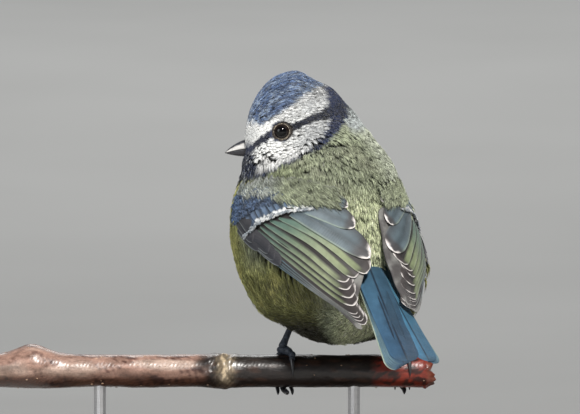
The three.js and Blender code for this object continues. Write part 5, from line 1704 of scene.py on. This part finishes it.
# painted shade: the bark darkens towards its underside, and a little along its very top
high = np.cos(ang)
pk = pk * np.array([0.74, 0.78, 0.80]) * (1 - 0.20 * sm(0.75, 1.0, high))[:, None]
pk = mixc(pk, pk * np.array([0.24, 0.16, 0.12]), 1 - sm(-0.60, 0.32, high + 0.12 * wave(V * [0.3, 1, 1], 0.3, 308)))
col = mixc(col, pk, pale)
col = mixc(col, mixc(np.array([0.20, 0.024, 0.012]), np.array([0.035, 0.008, 0.006]), sm(-0.2, 0.8, wv + 0.5 * wave(V, 0.8, 307))), red)
scar = np.exp(-(((x + 13.6) / 1.7) ** 2)) * np.exp(-((np.angle(np.exp(1j * (ang + 1.35))) / 1.1) ** 2))
col = mixc(col, np.array([0.50, 0.40, 0.27]), np.clip(scar * (0.5 + 0.9 * sm(-0.2, 0.8, wave(V, 0.7, 305))), 0, 1))
col = mixc(col, np.array([0.20, 0.05, 0.025]), sm(36.2, 37.2, x) * 0.6)
col = mixc(col, np.array([0.38, 0.24, 0.15]), dots * 0.8)
twig = new_mesh("twig", V, F, col)
m, nt, b = material("bark", 0.4, 0.0, 0.40, 0.35)
b.inputs["Coat Roughness"].default_value = 0.25
a = nt.nodes.new("ShaderNodeAttribute"); a.attribute_name = "Col"
tc = nt.nodes.new("ShaderNodeTexCoord")
mp = nt.nodes.new("ShaderNodeMapping"); mp.inputs["Scale"].default_value = (0.30, 1.0, 1.0)
nt.links.new(tc.outputs["Object"], mp.inputs["Vector"])
n1 = node(nt, "ShaderNodeTexNoise", Scale=700.0, Detail=6.0, Roughness=0.65)
nt.links.new(mp.outputs[0], n1.inputs["Vector"])
n2 = node(nt, "ShaderNodeTexNoise", Scale=2600.0, Detail=4.0, Roughness=0.6)
nt.links.new(tc.outputs["Object"], n2.inputs["Vector"])
r1 = ramp(nt, [(0.3, (0.50,) * 3), (0.7, (1.3,) * 3)], n1.outputs["Fac"])
r2 = ramp(nt, [(0.3, (0.75,) * 3), (0.7, (1.1,) * 3)], n2.outputs["Fac"])
nt.links.new(mul(nt, mul(nt, a.outputs["Color"], r1.outputs[0]), r2.outputs[0]), b.inputs["Base Color"])
rr_ = ramp(nt, [(0.3, (0.26,) * 3), (0.7, (0.55,) * 3)], n1.outputs["Fac"])
nt.links.new(rr_.outputs[0], b.inputs["Roughness"])
b1 = node(nt, "ShaderNodeBump", Strength=0.55, Distance=0.00025)
nt.links.new(n1.outputs["Fac"], b1.inputs["Height"])
b2 = node(nt, "ShaderNodeBump", Strength=0.35, Distance=0.00008)
nt.links.new(n2.outputs["Fac"], b2.inputs["Height"]); nt.links.new(b1.outputs[0], b2.inputs["Normal"])
nt.links.new(b2.outputs[0], b.inputs["Normal"])
twig.data.materials.append(m)
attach(twig, "root"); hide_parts("perch")


# stand: dark satin wood and brushed steel on the kept solids
def stand_wood():
    m, nt, b = material("stand_wood", 0.4, 0.0, 0.5, 0.3)
    b.inputs["Coat Roughness"].default_value = 0.2
    tc = nt.nodes.new("ShaderNodeTexCoord")
    mp = nt.nodes.new("ShaderNodeMapping"); mp.inputs["Scale"].default_value = (0.08, 1.0, 1.0)
    nt.links.new(tc.outputs["Object"], mp.inputs["Vector"])
    no = node(nt, "ShaderNodeTexNoise", Scale=420.0, Detail=8.0, Roughness=0.6)
    nt.links.new(mp.outputs[0], no.inputs["Vector"])
    r = ramp(nt, [(0.30, (0.018, 0.011, 0.008)), (0.52, (0.055, 0.032, 0.020)), (0.75, (0.10, 0.058, 0.034))], no.outputs["Fac"])
    nt.links.new(r.outputs[0], b.inputs["Base Color"])
    rr = ramp(nt, [(0.3, (0.32,) * 3), (0.7, (0.5,) * 3)], no.outputs["Fac"])
    nt.links.new(rr.outputs[0], b.inputs["Roughness"])
    bu = node(nt, "ShaderNodeBump", Strength=0.25, Distance=0.0001)
    nt.links.new(no.outputs["Fac"], bu.inputs["Height"]); nt.links.new(bu.outputs[0], b.inputs["Normal"])
    return m


def stand_steel():
    m, nt, b = material("stand_steel", 0.3, 0.0, 0.5)
    b.inputs["Metallic"].default_value = 1.0
    tc = nt.nodes.new("ShaderNodeTexCoord")
    mp = nt.nodes.new("ShaderNodeMapping"); mp.inputs["Scale"].default_value = (1.0, 1.0, 12.0)
    nt.links.new(tc.outputs["Object"], mp.inputs["Vector"])
    no = node(nt, "ShaderNodeTexNoise", Scale=500.0, Detail=3.0)
    nt.links.new(mp.outputs[0], no.inputs["Vector"])
    r = ramp(nt, [(0.3, (0.56, 0.56, 0.57)), (0.7, (0.64, 0.64, 0.65))], no.outputs["Fac"])
    nt.links.new(r.outputs[0], b.inputs["Base Color"])
    rr = ramp(nt, [(0.3, (0.30,) * 3), (0.7, (0.36,) * 3)], no.outputs["Fac"])
    nt.links.new(rr.outputs[0], b.inputs["Roughness"])
    return m


for name, mat in (("stand_base", stand_wood()), ("stand_rod_left", stand_steel()), ("stand_rod_right", stand_steel())):
    if name in NODES:
        me = NODES[name].data
        if not len(me.materials):
            me.materials.append(mat)
        for k in range(len(NODES[name].material_slots)):
            NODES[name].material_slots[k].material = mat

# ----------------------------------------------------- floor, lights, camera
def backdrop():
    V, F = [], []
    prof = [(-7.0, 0.0), (0.9, 0.0)]
    for k in range(1, 17):
        q = k / 16
        prof.append((0.9 + 1.8 * q, 0.20 * q * q * (3 - 2 * q)))
    prof.append((8.0, 0.20))
    xs = np.linspace(-6.0, 6.0, 5)
    for yy, zz in prof:
        for xx in xs:
            V.append((xx, yy, zz))
    n = len(xs)
    for i in range(len(prof) - 1):
        for j in range(n - 1):
            a = i * n + j
            F.append((a, a + 1, a + n + 1, a + n))
    me = bpy.data.meshes.new("floor"); me.from_pydata(V, [], F); me.update()
    for p in me.polygons:
        p.use_smooth = True
    ob = bpy.data.objects.new("floor", me)
    bpy.context.scene.collection.objects.link(ob)
    m, nt, b = material("floor", 0.85, 0.0, 0.2)
    tc = nt.nodes.new("ShaderNodeTexCoord")
    no = node(nt, "ShaderNodeTexNoise", Scale=6.0, Detail=2.0)
    nt.links.new(tc.outputs["Object"], no.inputs["Vector"])
    r = ramp(nt, [(0.3, (0.44, 0.44, 0.43)), (0.7, (0.47, 0.47, 0.46))], no.outputs["Fac"])
    nt.links.new(r.outputs[0], b.inputs["Base Color"])
    ob.data.materials.append(m)


backdrop()


def lamp(name, loc, target, size, power, colour=(1, 1, 1)):
    d = bpy.data.lights.new(name, "AREA")
    d.shape = "DISK"; d.size = size; d.energy = power; d.color = colour
    o = bpy.data.objects.new(name, d)
    o.location = loc
    o.rotation_euler = (Vector(target) - Vector(loc)).to_track_quat("-Z", "Y").to_euler()
    bpy.context.scene.collection.objects.link(o)


mid = (0.006, 0.0, 0.075)
lamp("key", (0.26, -0.95, 0.86), mid, 0.17, 25.0, (1.0, 0.97, 0.93))
lamp("fill", (-0.95, -0.7, 0.40), mid, 0.8, 5.5, (0.98, 0.99, 1.0))
lamp("back", (0.30, 0.75, 0.80), mid, 0.5, 0.9, (1.0, 0.99, 0.97))
lamp("sweep", (0.0, 1.9, 1.5), (0.0, 1.9, 0.0), 1.2, 16.0, (1.0, 1.0, 0.99))
w = bpy.data.worlds.new("studio"); bpy.context.scene.world = w
w.use_nodes = True
w.node_tree.nodes["Background"].inputs[0].default_value = (0.80, 0.85, 0.92, 1)
w.node_tree.nodes["Background"].inputs[1].default_value = 0.17

cam = bpy.data.cameras.new("camera")
cam.sensor_width = 36.0
cam.lens = 36.0 * 2.5 / 0.145
cam.clip_end = 20
co = bpy.data.objects.new("camera", cam)
co.location = (0.0025, -2.5, 0.075)
co.rotation_euler = (math.pi / 2, 0, 0)
bpy.context.scene.collection.objects.link(co)
bpy.context.scene.camera = co

bpy.context.scene.view_settings.view_transform = "Standard"
bpy.context.view_layer.update()
